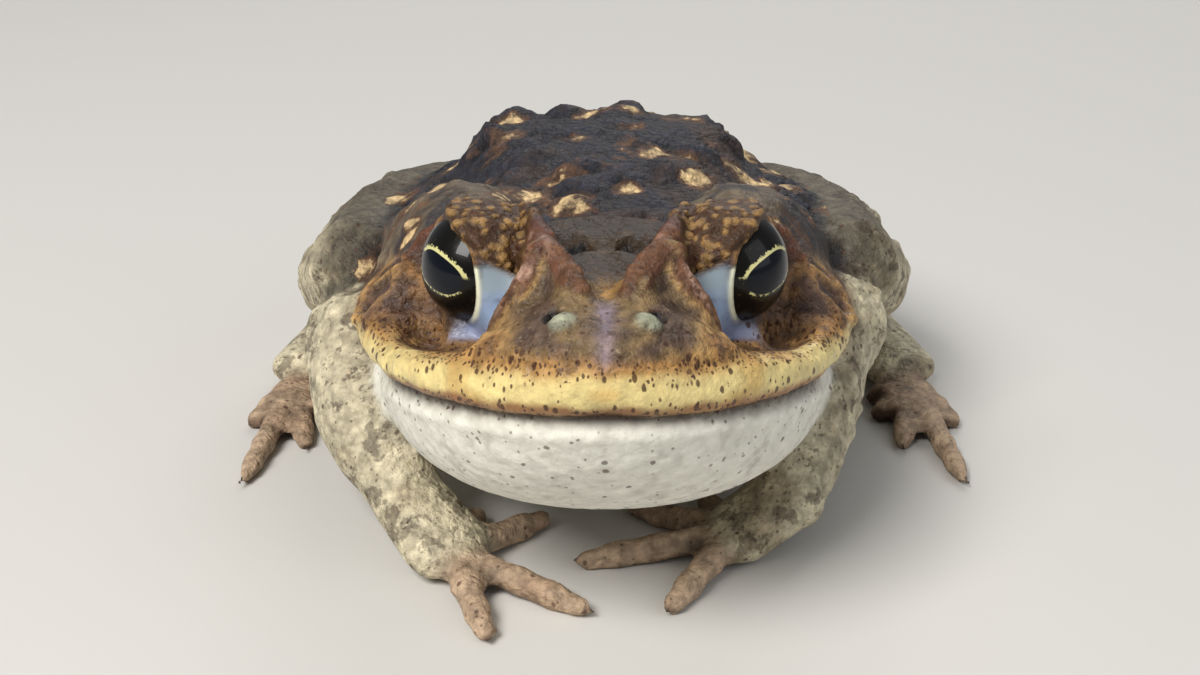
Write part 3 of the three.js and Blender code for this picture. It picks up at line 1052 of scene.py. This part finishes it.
        lay(Tone.LIMB_MOTTLE, limb * ramp(patch + 0.4 * fine, 0.0, 0.6), 0.7)
        thigh = relief.zone(Zone.LEG) * ramp(np.abs(place[:, 0]), 41, 33) * ramp(place[:, 2], 12, 22)
        lay(Tone.FLANK, thigh * ramp(up + 0.3 * patch, -0.2, 0.3), 0.9)
        lay(Tone.BELLY, trunk * ramp(up, 0.1, -0.5))
        lay(Tone.FLANK, trunk * ramp(up, -0.55, -0.1))
        top = trunk * ramp(place[:, 2] + 3 * patch, 12, 21) * ramp(up, -0.3, 0.25)
        lay(Tone.SLATE, top)
        lay(Tone.EARTH, top * ramp(patch + 0.5 * fine, 0.2, 1.0), 0.6)
        lay(Tone.EARTH, gland, 0.85)
        lay(Tone.SLATE, gland * ramp(cloud(place, 5.0, 44), -0.2, 0.4), 0.8)

        lay(Tone.CHEEK, head)
        lay(Tone.CHEEK_PALE, head * ramp(streak, 0.05, 0.6), 0.9)
        lay(Tone.CHEEK_SHADE, head * ramp(streak, -0.15, -0.6), 0.85)
        below_eye = head * ramp(z, 9, 6) * ramp(y, 16, 20) * ramp(y, 36, 31)
        lay(Tone.CHEEK_SHADE, below_eye * ramp(streak, 0.5, -0.2), 0.75)
        lay(Tone.YELLOW, head * YELLOW_STRIPE.mask(relief) * ramp(fine, -0.9, 0.1), 0.85)
        snout = head * ramp(x, 11, 8) * ramp(y, 17, 13) * ramp(z, 4.5, 6.5)
        lay(Tone.SNOUT, snout, 0.85)
        lay(Tone.CHEEK_SHADE, snout * ramp(cloud(local, 4.0, 49), 0.0, 0.5), 0.8)
        crown = head * ramp(y, 9.5, 15) * ramp(x, 9.5, 6.5) * ramp(z, 10.5, 12.5)
        lay(Tone.CROWN, crown * ramp(y + 3 * patch, 10, 18), 0.95)
        lay(Tone.CHEEK, crown * ramp(cloud(local, 2.6, 66), 0.35, 0.8), 0.6)
        lay(Tone.CROWN, head * ramp(y, 28, 33) * ramp(z + patch, 11, 15), 0.9)
        lay(Tone.LILAC, head * bell(x + 0.3 * fine, 0.9) * ramp(y, 9.0, 7.5) * ramp(z, 1.5, 4), 0.42)
        lay(Tone.OCHRE, head * bell(x, 2.3) * bell(y - 10.6, 2.0) * ramp(fine, -0.8, 0.2), 0.8)
        ridges = np.maximum(BROW.mask(relief), 0.85 * EAR_CREST.mask(relief))
        lay(Tone.CREST, head * ramp(ridges + 0.25 * fine, 0.3, 0.75), 0.8)
        # Painted highlight on the top of the brow crests.
        lay(Tone.CREST_HIGHLIGHT, head * bell(y - 14, 1.6) * ramp(ridges, 0.85, 0.98) * ramp(fine, -0.2, 0.5), 0.5)
        crest = CHEEK_CREST.mask(relief)
        flank = head * bell(crest - 0.45, 0.25) * ramp(x - crest_line(z), 0.2, -0.4)
        lay(Tone.CHEEK_PALE, flank, 0.9)
        lay(Tone.CREST, head * ramp(crest + 0.2 * fine, 0.4, 0.8), 0.75)
        # Painted highlight on the top of the cheek crest.
        lay(Tone.CREST_HIGHLIGHT, ramp(crest, 0.9, 0.99) * ramp(fine, -0.4, 0.3), 0.4)
        # Painted shadow: the pits behind the brows filled near black.
        lay(Tone.PIT_SHADOW, head * ramp(CROWN_PIT.mask(relief), 0.2, 0.7))
        # Painted shade along the furrow between the upper lid and the brow.
        lay(Tone.CROWN, head * ramp(LID_FURROW.mask(relief), 0.4, 0.8), 0.8)
        lay(Tone.KNOB, ramp(NOSTRIL_KNOB.mask(relief), 0.35, 0.9), 0.7)
        # Painted shadow inside the nostril opening.
        lay(Tone.PIT_SHADOW, ramp(NOSTRIL.mask(relief), 0.25, 0.6))
        lay(Tone.LID, lid, 0.9)
        lay(Tone.LID_DARK, lid * ramp(cloud(local, 1.6, 46), 0.2, 0.55), 0.6)
        # Painted shade in the gaps between the lid's grains.
        lay(Tone.LID_DARK, marks["lid_gaps"], 0.95)
        outer = ramp(np.minimum(lip_half(y) - x, 1.6 * y), 3.8, 2.4)
        lip = head * ramp(z + 0.5 * fine, 5.2, 3.8) * ramp(y, 37, 30) * outer
        lip_top = head * bell(z + 0.6 * fine - 4.7, 1.1) * ramp(y, 34, 28) * (0.5 + 0.5 * outer)
        lay(Tone.LIP, lip, 0.95)
        lay(Tone.OCHRE, lip * ramp(cloud(local, 5.0, 50), 0.1, 0.8), 0.5)
        lay(Tone.LIP_TOP, lip_top, 0.75)
        lip_edge = head * ramp(z + 0.35 * fine, 1.5, 0.5) * ramp(y, 40, 34)
        lay(Tone.LIP_EDGE, lip_edge, 0.85)
        drum = EARS.across(relief)
        lay(Tone.CHEEK_SHADE, head * ramp(drum, EARS.radius, EARS.radius - 1), 0.7)
        lay(Tone.CHEEK_PALE, head * bell(drum - EARS.radius, 0.5), 0.4)

        lay(Tone.THROAT, jaw * ramp(z, -0.2, -1.0))
        lay(Tone.THROAT_GREY, jaw * ramp(cloud(local, 1.5, 47), 0.3, 0.8), 0.4)
        # Painted shade along the mouth groove under the upper lip.
        lay(Tone.MOUTH, ramp(MOUTH.mask(relief), 0.6, 0.9) * ramp(y, 29, 22), 0.8)

        seam = bell(z + 1.2, 1.5) * ramp(y, 60, 50)
        for share in tint.T:
            share += seam * (relief.spread(share, 6) - share)

        digit = relief.zone(Zone.DIGIT)
        lay(Tone.DIGIT, digit, 0.8)
        tips = np.zeros(len(place))
        for each in all_digits():
            back, off = each.along(place)
            tips = np.maximum(tips, ramp(back, 1.5, 0.0) * ramp(off, 3.5, 2.5))
        lay(Tone.DIGIT_TIP, tips * digit)

        lay(Tone.MEMBRANE, blue, 0.95)
        lay(Tone.LILAC, blue * ramp(z, 7.5, 4.5), 0.35)
        lay(Tone.KNOB, blue * ramp(z + fine, 8.5, 11), 0.45)
        lay(Tone.CHEEK_SHADE, blue * ramp(cloud(local, 1.3, 67), 0.1, 1.0), 0.4)
        # The lower lid's pale rim, partly its own cream colour and partly painted highlight.
        lay(Tone.RIM, rim)
        plain = 1 - np.clip(blue + rim, 0, 1)
        # Painted shade in the skin's hollows and creases and painted highlight on its raised points, from how
        # far each point stands proud of its neighbours.
        hollow = relief.relief(7)
        cavity_shade_and_highlight = 1 - 0.6 * ramp(hollow, -0.03, -0.25) * plain + 0.28 * ramp(hollow, 0.03, 0.25) * plain
        tint[:] = np.clip(tint * cavity_shade_and_highlight[:, None], 0, 1)

        mottled = 0.8 * head * (1 - lip) * (1 - 0.8 * crown) + 0.9 * limb * (1 - digit)
        mottled = np.clip(mottled + 0.5 * gland + 0.25 * lip, 0, 1)
        marks["mottle"] = mottled * plain * (1 - 0.7 * lid)
        marks["freckle"] = np.clip(0.9 * lid + 0.5 * head * (1 - lip) + 0.3 * jaw + 0.35 * limb, 0, 1) * plain
        marks["lip_specks"] = np.clip(1.4 * lip_top + 0.8 * lip_edge + 0.16 * lip, 0, 1) * plain
        marks["grain"] = np.clip(1 + 0.5 * top - blue - rim - 0.6 * lip - 0.72 * jaw, 0.03, 1.5)
        marks["wet"] = np.clip(blue + rim + 0.45 * lip + 0.3 * head, 0, 1)
        self.store("tint", tint)
        for name in ("spots", "mottle", "freckle", "lip_specks", "grain", "wet"):
            self.store(name, marks[name])

    def store(self, name: str, values: Array) -> None:
        """Keeps a colour or a mask on the mesh.

        Args:
            name: What the finish calls it.
            values: One number, or three shares of a colour, for each point.
        """
        mesh = self.piece.data
        if values.ndim == 1:
            mesh.attributes.new(name, "FLOAT", "POINT").data.foreach_set("value", values.astype(np.float32))
            return
        rows = np.hstack([values, np.ones((len(values), 1))]).astype(np.float32)
        mesh.attributes.new(name, "FLOAT_COLOR", "POINT").data.foreach_set("color", rows.ravel())

    def dress(self) -> None:
        """Gives the skin its finish and its place in the frame."""
        self.piece.data.materials.append(SkinFinish().material())
        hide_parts(*self.flesh())
        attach(self.piece, "root")


def tone(red: float, green: float, blue: float) -> Array:
    """A colour as a screen shows it, turned to shares of light."""
    seen = np.array([red, green, blue])
    return np.where(seen <= 0.04045, seen / 12.92, ((seen + 0.055) / 1.055) ** 2.4)


class Tone(Enum):
    """The skin's colours, as a screen shows them."""

    LIMB = (0.75, 0.71, 0.60)
    LIMB_MOTTLE = (0.53, 0.47, 0.37)
    BELLY = (0.80, 0.77, 0.69)
    FLANK = (0.27, 0.245, 0.20)
    SLATE = (0.14, 0.145, 0.18)
    EARTH = (0.28, 0.21, 0.165)
    CHEEK = (0.53, 0.39, 0.24)
    CHEEK_PALE = (0.70, 0.55, 0.34)
    CHEEK_SHADE = (0.29, 0.225, 0.21)
    YELLOW = (0.82, 0.74, 0.32)
    SNOUT = (0.43, 0.36, 0.25)
    # The crown's own dark brown, also laid as painted shade in the lid furrow.
    CROWN = (0.125, 0.10, 0.095)
    # Near black, laid as painted shadow in the crown pits and nostril openings.
    PIT_SHADOW = (0.05, 0.04, 0.04)
    LILAC = (0.60, 0.55, 0.64)
    OCHRE = (0.72, 0.53, 0.23)
    CREST = (0.35, 0.195, 0.135)
    # Pale pink laid as painted highlight on the crests' tops.
    CREST_HIGHLIGHT = (0.84, 0.70, 0.62)
    KNOB = (0.58, 0.61, 0.53)
    LID = (0.56, 0.43, 0.25)
    # The lid's own dark dots, also laid as painted shade between its grains.
    LID_DARK = (0.25, 0.155, 0.09)
    LIP = (0.90, 0.82, 0.56)
    LIP_TOP = (0.68, 0.50, 0.27)
    LIP_EDGE = (0.52, 0.27, 0.13)
    THROAT = (0.87, 0.86, 0.81)
    THROAT_GREY = (0.60, 0.57, 0.52)
    # Dark brown laid as painted shade in the mouth groove.
    MOUTH = (0.22, 0.14, 0.11)
    DIGIT = (0.60, 0.49, 0.40)
    DIGIT_TIP = (0.28, 0.19, 0.14)
    MEMBRANE = (0.53, 0.61, 0.73)
    # Cream white for the lower lid's rim, partly its own colour and partly painted highlight.
    RIM = (0.92, 0.92, 0.80)
    SPOT = (0.80, 0.69, 0.51)
    SPOT_RING = (0.36, 0.25, 0.17)
    SPECK = (0.24, 0.12, 0.07)
    # Dark patches of the skin's own colour, also laid as painted shade in the granules' furrows.
    BLOTCH = (0.20, 0.14, 0.10)

    @property
    def light(self) -> Array:
        """The colour in shares of light."""
        return tone(*self.value)


# Finishes


@dataclass
class Board:
    """A small help to lay out shader nodes."""

    tree: bpy.types.NodeTree

    def add(self, kind: str, **values: object) -> bpy.types.Node:
        """A new node. Each value is one of its settings or, if it has no such setting, one of its inputs.

        Args:
            kind: Blender's name for the node.
            values: The settings, by name.

        Returns:
            The node.
        """
        node = self.tree.nodes.new(kind)
        for name, value in values.items():
            if hasattr(node, name):
                setattr(node, name, value)
            else:
                node.inputs[name.replace("_", " ")].default_value = value
        return node

    def put(self, value: object, socket: Socket) -> None:
        """Feeds an input with another node's output, a number or a colour."""
        if isinstance(value, Socket):
            self.tree.links.new(value, socket)
        else:
            socket.default_value = value if isinstance(value, (int, float)) else (*value, 1.0)

    def sum_of(self, kind: str, *terms: object, clamp: bool = False) -> Socket:
        """A Math node of the given operation on sockets or numbers.

        Args:
            kind: The operation.
            terms: What it works on.
            clamp: Whether it stays from 0 to 1.

        Returns:
            The result.
        """
        node = self.add("ShaderNodeMath", operation=kind, use_clamp=clamp)
        for i, term in enumerate(terms):
            self.put(term, node.inputs[i])
        return node.outputs[0]

    def step(self, value: Socket, low: object, high: object) -> Socket:
        """A smooth step of a value from 0 at low to 1 at high.

        Args:
            value: What is measured.
            low: Where the step starts.
            high: Where it ends.

        Returns:
            The step.
        """
        node = self.add("ShaderNodeMapRange", interpolation_type="SMOOTHSTEP")
        for name, edge in (("Value", value), ("From Min", low), ("From Max", high)):
            self.put(edge, node.inputs[name])
        return node.outputs["Result"]

    def blend(self, mask: object, under: object, over: object) -> Socket:
        """One colour laid over another by a mask.

        Args:
            mask: How much of the upper colour shows.
            under: The lower colour.
            over: The upper.

        Returns:
            The mixed colour.
        """
        node = self.add("ShaderNodeMix", data_type="RGBA")
        for number, value in ((0, mask), (6, under), (7, over)):
            self.put(value, node.inputs[number])
        return node.outputs[2]

    def noise(self, place: object, scale: object, detail: float, roughness: float = 0.5) -> bpy.types.Node:
        """Noise round each place.

        Args:
            place: Where each point is.
            scale: How fine it is.
            detail: How many finer layers it has.
            roughness: How strong they are.

        Returns:
            The noise's node.
        """
        node = self.add("ShaderNodeTexNoise", Detail=detail, Roughness=roughness)
        self.put(place, node.inputs["Vector"])
        self.put(scale, node.inputs["Scale"])
        return node

    def surface(self, colour: Socket, **constants: float) -> bpy.types.Node:
        """The shader that ends a material, with its constants on its own inputs.

        Args:
            colour: The surface's colour.
            constants: The other inputs' values, by name.

        Returns:
            The shader, whose other inputs may still be fed.
        """
        shader = self.add("ShaderNodeBsdfPrincipled", **constants)
        self.put(colour, shader.inputs["Base Color"])
        self.put(shader.outputs[0], self.add("ShaderNodeOutputMaterial").inputs[0])
        return shader

    def mark(self, name: str) -> Socket:
        """One of the masks that the mesh carries."""
        return self.add("ShaderNodeAttribute", attribute_name=name).outputs["Fac"]


def new_material(name: str) -> tuple[bpy.types.Material, Board, Socket]:
    """An empty material, with its board and where each point is on its object.

    Args:
        name: The material's name.

    Returns:
        The material, its board and the places.
    """
    made = bpy.data.materials.new(name)
    made.use_nodes = True
    made.node_tree.nodes.clear()
    board = Board(made.node_tree)
    return made, board, board.add("ShaderNodeTexCoord").outputs["Object"]


def new_group(name: str, inputs: dict, outputs: tuple) -> tuple[Board, bpy.types.Node, bpy.types.Node]:
    """An empty shader node group.

    Args:
        name: The group's name.
        inputs: Each input's name and its value when nothing is linked, or None for a vector.
        outputs: The outputs' names, all numbers.

    Returns:
        The group's board, its input node and its output node.
    """
    tree = bpy.data.node_groups.new(name, "ShaderNodeTree")
    for label, value in inputs.items():
        kind = "NodeSocketVector" if value is None else "NodeSocketFloat"
        socket = tree.interface.new_socket(label, in_out="INPUT", socket_type=kind)
        if value is not None:
            socket.default_value = value
    for label in outputs:
        tree.interface.new_socket(label, in_out="OUTPUT", socket_type="NodeSocketFloat")
    board = Board(tree)
    return board, board.add("NodeGroupInput"), board.add("NodeGroupOutput")


def granules_group() -> bpy.types.NodeTree:
    """The fine grain of the skin: close-set granules, and a mask of the narrow furrows between them for
    painted shade.
    """
    board, given, result = new_group(
        "granules", {"Vector": None, "Scale": 1400.0, "Roughen": 0.5}, ("Height", "FurrowShade")
    )
    place, scale = given.outputs["Vector"], given.outputs["Scale"]
    wander = board.noise(place, board.sum_of("MULTIPLY", scale, 0.8), 0.0)
    shift = board.add("ShaderNodeVectorMath", operation="SCALE", Scale=0.0006)
    board.put(wander.outputs["Color"], shift.inputs[0])
    moved = board.add("ShaderNodeVectorMath", operation="ADD")
    board.put(place, moved.inputs[0])
    board.put(shift.outputs[0], moved.inputs[1])
    cells = board.add("ShaderNodeTexVoronoi", feature="SMOOTH_F1", Smoothness=0.35)
    board.put(moved.outputs[0], cells.inputs["Vector"])
    board.put(scale, cells.inputs["Scale"])
    grit = board.noise(place, board.sum_of("MULTIPLY", scale, 2.2), 2.0)
    dome = board.sum_of("SUBTRACT", 1.0, cells.outputs["Distance"], clamp=True)
    rough = board.sum_of("MULTIPLY", grit.outputs["Fac"], given.outputs["Roughen"])
    board.put(board.sum_of("ADD", dome, rough), result.inputs["Height"])
    board.put(board.step(cells.outputs["Distance"], 0.42, 0.8), result.inputs["FurrowShade"])
    return board.tree


def freckles_group() -> bpy.types.NodeTree:
    """Small dark specks of uneven size and shape, denser where the amount is high."""
    board, given, result = new_group(
        "freckles", {"Vector": None, "Scale": 900.0, "Amount": 0.5, "Size": 0.34}, ("Mask",)
    )
    wander = board.noise(given.outputs["Vector"], 1500.0, 1.0)
    cells = board.add("ShaderNodeTexVoronoi", feature="F1")
    board.put(given.outputs["Vector"], cells.inputs["Vector"])
    board.put(given.outputs["Scale"], cells.inputs["Scale"])
    rag = board.sum_of("MULTIPLY_ADD", wander.outputs["Fac"], 0.34, -0.17)
    ragged = board.sum_of("ADD", cells.outputs["Distance"], rag)
    edge = board.sum_of("MULTIPLY", given.outputs["Size"], 0.62)
    speck = board.sum_of("SUBTRACT", 1.0, board.step(ragged, edge, given.outputs["Size"]))
    pick = board.add("ShaderNodeSeparateColor")
    board.put(cells.outputs["Color"], pick.inputs[0])
    chosen = board.sum_of("LESS_THAN", pick.outputs[0], given.outputs["Amount"])
    board.put(board.sum_of("MULTIPLY", speck, chosen), result.inputs["Mask"])
    return board.tree


@dataclass(frozen=True)
class SkinFinish:
    """The toad's skin: painted patches, specks, a granular surface with painted shade in its furrows and a
    slight moist sheen.
    """

    grain_depth: float = 0.0003
    coarse_scale: float = 900.0
    fine_scale: float = 2300.0
    clouding_scale: float = 480.0
    fleck_scale: float = 900.0
    blotch_sizes: tuple = ((230.0, 0.56, 0.62), (620.0, 0.60, 0.6))
    freckle_sizes: tuple = ((860.0, 0.26, 0.7), (1500.0, 0.45, 0.6))
    lip_speck_sizes: tuple = ((1350.0, 0.75, 0.44), (2300.0, 0.6, 0.4))

    def blotches(self, board: Board, place: Socket, scale: float, low: float) -> Socket:
        """Ragged patches from noise.

        Args:
            board: The material's nodes.
            place: Where each point is.
            scale: How fine the patches are.
            low: The noise's level at a patch's edge, so that a higher one leaves fewer patches.

        Returns:
            The patches' mask.
        """
        noise = board.noise(place, scale, 4.0, 0.66)
        return board.step(noise.outputs["Fac"], low, low + 0.05)

    def material(self) -> bpy.types.Material:
        """The skin's material."""
        made, board, place = new_material("toad_skin")
        colour = board.add("ShaderNodeAttribute", attribute_name="tint").outputs["Color"]
        granules, freckles = granules_group(), freckles_group()

        def group(tree: bpy.types.NodeTree, where: Socket, **values: float) -> bpy.types.Node:
            """One use of a node group.

            Args:
                tree: The group.
                where: Where each point is.
                values: The inputs' values, by name.

            Returns:
                The group's node.
            """
            node = board.add("ShaderNodeGroup", node_tree=tree, **values)
            board.put(where, node.inputs["Vector"])
            return node

        def cover(mask: Socket, strength: float, over: Tone) -> None:
            """Lays a colour over the colours so far.

            Args:
                mask: Where it shows.
                strength: How much of it shows there.
                over: The colour.
            """
            nonlocal colour
            share = board.sum_of("MULTIPLY", mask, strength, clamp=True)
            colour = board.blend(share, colour, tuple(over.light))

        clouding = board.noise(place, self.clouding_scale, 4.0, 0.66)
        grain = board.mark("grain")
        wander = board.sum_of("MULTIPLY_ADD", clouding.outputs["Fac"], 1.3, -0.65)
        spots = board.sum_of("ADD", board.mark("spots"), wander)
        cover(board.step(spots, -0.38, 0.0), 0.8, Tone.SPOT_RING)
        cover(board.step(spots, 0.02, 0.32), 0.9, Tone.SPOT)

        uneven = board.sum_of("MULTIPLY_ADD", clouding.outputs["Fac"], 2.1, -1.05)
        value = board.add("ShaderNodeHueSaturation")
        board.put(colour, value.inputs["Color"])
        board.put(board.sum_of("MULTIPLY_ADD", uneven, grain, 1.0), value.inputs["Value"])
        colour = value.outputs["Color"]

        mottle = board.mark("mottle")
        for scale, low, strength in self.blotch_sizes:
            patches = self.blotches(board, place, scale, low)
            cover(board.sum_of("MULTIPLY", patches, mottle), strength, Tone.BLOTCH)
        flecks = self.blotches(board, place, self.fleck_scale, 0.63)
        cover(board.sum_of("MULTIPLY", flecks, mottle), 0.3, Tone.SPOT)

        freckle = board.mark("freckle")
        for scale, amount, strength in self.freckle_sizes:
            specks = group(freckles, place, Scale=scale, Size=0.34)
            board.put(board.sum_of("MULTIPLY", freckle, amount), specks.inputs["Amount"])
            cover(specks.outputs["Mask"], strength, Tone.SPECK)
        slant = board.add("ShaderNodeMapping")
        slant.inputs["Rotation"].default_value = (0.0, math.radians(14), 0.0)
        slant.inputs["Scale"].default_value = (1.0, 0.8, 0.55)
        board.put(place, slant.inputs["Vector"])
        for scale, amount, size in self.lip_speck_sizes:
            specks = group(freckles, slant.outputs[0], Scale=scale, Size=size)
            many = board.sum_of("MULTIPLY", board.mark("lip_specks"), amount)
            board.put(many, specks.inputs["Amount"])
            cover(specks.outputs["Mask"], 0.85, Tone.SPECK)

        coarse = group(granules, place, Scale=self.coarse_scale)
        fine = group(granules, place, Scale=self.fine_scale)
        # Painted shade in the furrows between the coarse granules.
        cover(board.sum_of("MULTIPLY", coarse.outputs["FurrowShade"], grain), 0.28, Tone.BLOTCH)
        height = board.sum_of("MULTIPLY_ADD", fine.outputs["Height"], 0.4, coarse.outputs["Height"])
        bump = board.add("ShaderNodeBump", Strength=1.0, Distance=self.grain_depth)
        board.put(board.sum_of("MULTIPLY", height, grain), bump.inputs["Height"])

        shine = board.add("ShaderNodeMapRange", To_Min=0.5, To_Max=0.2)
        board.put(board.mark("wet"), shine.inputs["Value"])
        rough = board.sum_of("MULTIPLY_ADD", clouding.outputs["Fac"], 0.2, shine.outputs[0])
        shader = board.surface(colour, IOR=1.42, Specular_IOR_Level=0.42)
        board.put(rough, shader.inputs["Roughness"])
        board.put(bump.outputs[0], shader.inputs["Normal"])
        return made


@dataclass(frozen=True)
class EyeFinish:
    """The ball: a blue-black pupil inside broken gold arcs, on a nearly black iris under a wet coat."""

    pupil_half: tuple = (0.56, 0.315)
    corner_power: float = 2.5
    gold_scale: float = 2600.0
    fleck_scale: float = 1500.0
    pupil: tuple = (0.035, 0.05, 0.085)
    iris: tuple = (0.055, 0.05, 0.04)
    fleck: tuple = (0.45, 0.38, 0.20)
    gold: tuple = (0.80, 0.78, 0.55)

    def material(self) -> bpy.types.Material:
        """The eye's material."""
        made, board, place = new_material("toad_eye")
        gaze = board.add("ShaderNodeAttribute", attribute_name="gaze").outputs["Vector"]
        parts = board.add("ShaderNodeSeparateXYZ")
        board.put(gaze, parts.inputs[0])
        across, height = parts.outputs[0], parts.outputs[1]

        def oval(half_across: float, half_up: float) -> Socket:
            """How far out each place is from the pupil's middle, 1 on its edge.

            Args:
                half_across: Half the pupil's width.
                half_up: Half its height.

            Returns:
                One number for each place.
            """
            shares = ((across, half_across), (height, half_up))
            scaled = [board.sum_of("ABSOLUTE", board.sum_of("DIVIDE", way, half)) for way, half in shares]
            powers = [board.sum_of("POWER", share, self.corner_power) for share in scaled]
            return board.sum_of("POWER", board.sum_of("ADD", *powers), 1 / self.corner_power)

        out = oval(*self.pupil_half)
        ragged = board.noise(place, self.gold_scale, 3.0, 0.6).outputs["Fac"]
        above = board.step(height, -0.05, 0.1)
        width = board.sum_of("MULTIPLY_ADD", above, 0.12, 0.06)
        outer = board.sum_of("ADD", board.sum_of("MULTIPLY_ADD", ragged, 0.6, 0.76), width)
        inside = board.step(out, 1.0, 1.03)
        soft = board.sum_of("SUBTRACT", outer, 0.1)
        outside = board.sum_of("SUBTRACT", 1.0, board.step(out, soft, outer))
        arcs = board.step(board.sum_of("ABSOLUTE", height), 0.12, 0.2)
        ring = board.sum_of("MULTIPLY", board.sum_of("MULTIPLY", inside, outside), arcs)
        flecks = board.noise(place, self.fleck_scale, 5.0, 0.75).outputs["Fac"]
        fleck = board.sum_of("MULTIPLY", board.step(flecks, 0.6, 0.7), inside)

        colour = board.blend(inside, tuple(tone(*self.pupil)), tuple(tone(*self.iris)))
        share = board.sum_of("MULTIPLY", fleck, 0.55)
        colour = board.blend(share, colour, tuple(tone(*self.fleck)))
        colour = board.blend(ring, colour, tuple(tone(*self.gold)))
        board.surface(
            colour, Roughness=0.3, Specular_IOR_Level=0.1, Coat_Weight=0.5, Coat_Roughness=0.02, Coat_IOR=1.34
        )
        return made


# The eyes


@dataclass
class ToadEye:
    """One eye's ball, which looks out and forward with its pupil level."""

    side: Side
    gaze_axis: tuple = (0.70, -0.71, -0.04)
    roll: float = math.radians(13)
    fineness: int = 6
    piece: bpy.types.Object = None

    def build(self) -> None:
        """Makes the ball and notes how far each point lies from the middle of its gaze."""
        work = bmesh.new()
        centre = EYES.centre(self.side)
        here = Matrix.Translation(Vector(centre))
        bmesh.ops.create_icosphere(work, subdivisions=self.fineness, radius=EYES.radius, matrix=here)
        directions = unit(np.array([v.co for v in work.verts]) - centre)
        bmesh.ops.scale(work, vec=(MM,) * 3, verts=work.verts)
        for face in work.faces:
            face.smooth = True
        mesh = mesh_of(f"eyeball_{self.side.word}", work)
        ahead = HEAD.turned(self.gaze_axis, self.side)
        level = unit(np.cross(ahead, (0, 0, 1))) * self.side.value
        raised = unit(np.cross(level, ahead)) * self.side.value
        across = np.arctan2(directions @ level, directions @ ahead)
        upward = np.arctan2(directions @ raised, directions @ ahead)
        cos, sin = math.cos(self.roll), math.sin(self.roll)
        rows = np.stack([across * cos - upward * sin, across * sin + upward * cos, 0 * across], axis=1)
        gaze = mesh.attributes.new("gaze", "FLOAT_VECTOR", "POINT")
        gaze.data.foreach_set("vector", rows.astype(np.float32).ravel())
        self.piece = placed(f"eyeball_{self.side.word}", mesh)
        LOG.info("%s: %d faces", self.piece.name, len(mesh.polygons))

    def dress(self, finish: bpy.types.Material) -> None:
        """Gives the ball its finish and its place in the frame."""
        self.piece.data.materials.append(finish)
        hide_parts(f"eye_{self.side.word}")
        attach(self.piece, "root")


# Studio

LAMP_TARGET = (0, -0.02, 0.02)


@dataclass(frozen=True)
class Softbox:
    """A large soft lamp that points at the toad."""

    name: str
    place: tuple
    size: float
    power: float
    warmth: tuple = (1.0, 0.98, 0.95)

    def build(self) -> None:
        """Hangs the lamp."""
        lamp = bpy.data.lights.new(self.name, "AREA")
        lamp.shape = "SQUARE"
        lamp.size = self.size
        lamp.energy = self.power
        lamp.color = self.warmth
        hung = placed(self.name, lamp)
        hung.location = self.place
        aim = Vector(LAMP_TARGET) - Vector(self.place)
        hung.rotation_euler = aim.to_track_quat("-Z", "Y").to_euler()


@dataclass(frozen=True)
class Studio:
    """A plain pale floor, soft lamps and the camera."""

    camera_place: tuple = (-0.0005, -0.2356, 0.1067)
    camera_down: float = math.radians(23)
    lens: float = 54.0
    floor_half: float = 3.0
    paper_colour: tuple = (0.80, 0.79, 0.77)
    room_colour: tuple = (0.80, 0.82, 0.85)
    room_light: float = 0.32
    lamps: tuple = (
        Softbox("key", (-0.38, -0.5, 0.68), 0.4, 9.0),
        Softbox("fill", (0.7, -0.4, 0.45), 0.7, 1.8, (0.93, 0.96, 1.0)),
        Softbox("back", (0.15, 0.7, 0.6), 0.6, 3.0),
    )

    def build(self) -> None:
        """Sets out the floor, the lamps, the room's light and the camera."""
        work = bmesh.new()
        bmesh.ops.create_grid(work, x_segments=1, y_segments=1, size=self.floor_half)
        floor = placed("floor", mesh_of("floor", work))
        paper = bpy.data.materials.new("floor_paper")
        paper.use_nodes = True
        shader = paper.node_tree.nodes["Principled BSDF"]
        shader.inputs["Base Color"].default_value = (*tone(*self.paper_colour), 1)
        shader.inputs["Roughness"].default_value = 0.8
        floor.data.materials.append(paper)
        for lamp in self.lamps:
            lamp.build()
        world = bpy.data.worlds.new("room")
        world.use_nodes = True
        room = world.node_tree.nodes["Background"]
        room.inputs["Color"].default_value = (*tone(*self.room_colour), 1)
        room.inputs["Strength"].default_value = self.room_light
        bpy.context.scene.world = world
        bpy.context.scene.view_settings.view_transform = "Standard"
        lens = bpy.data.cameras.new("camera")
        lens.sensor_width = 36
        lens.lens = self.lens
        lens.clip_start = 0.01
        camera = placed("camera", lens)
        camera.location = self.camera_place
        camera.rotation_euler = (math.pi / 2 - self.camera_down, 0, 0)
        bpy.context.scene.camera = camera


def main() -> None:
    """Builds the toad and its studio, and notes the sizes."""
    logging.basicConfig(level=logging.INFO, format="%(name)s: %(message)s")
    Studio().build()
    skin = ToadSkin()
    skin.build()
    skin.dress()
    finish = EyeFinish().material()
    for side in Side:
        eye = ToadEye(side)
        eye.build()
        eye.dress(finish)


if __name__ == "__main__":
    main()
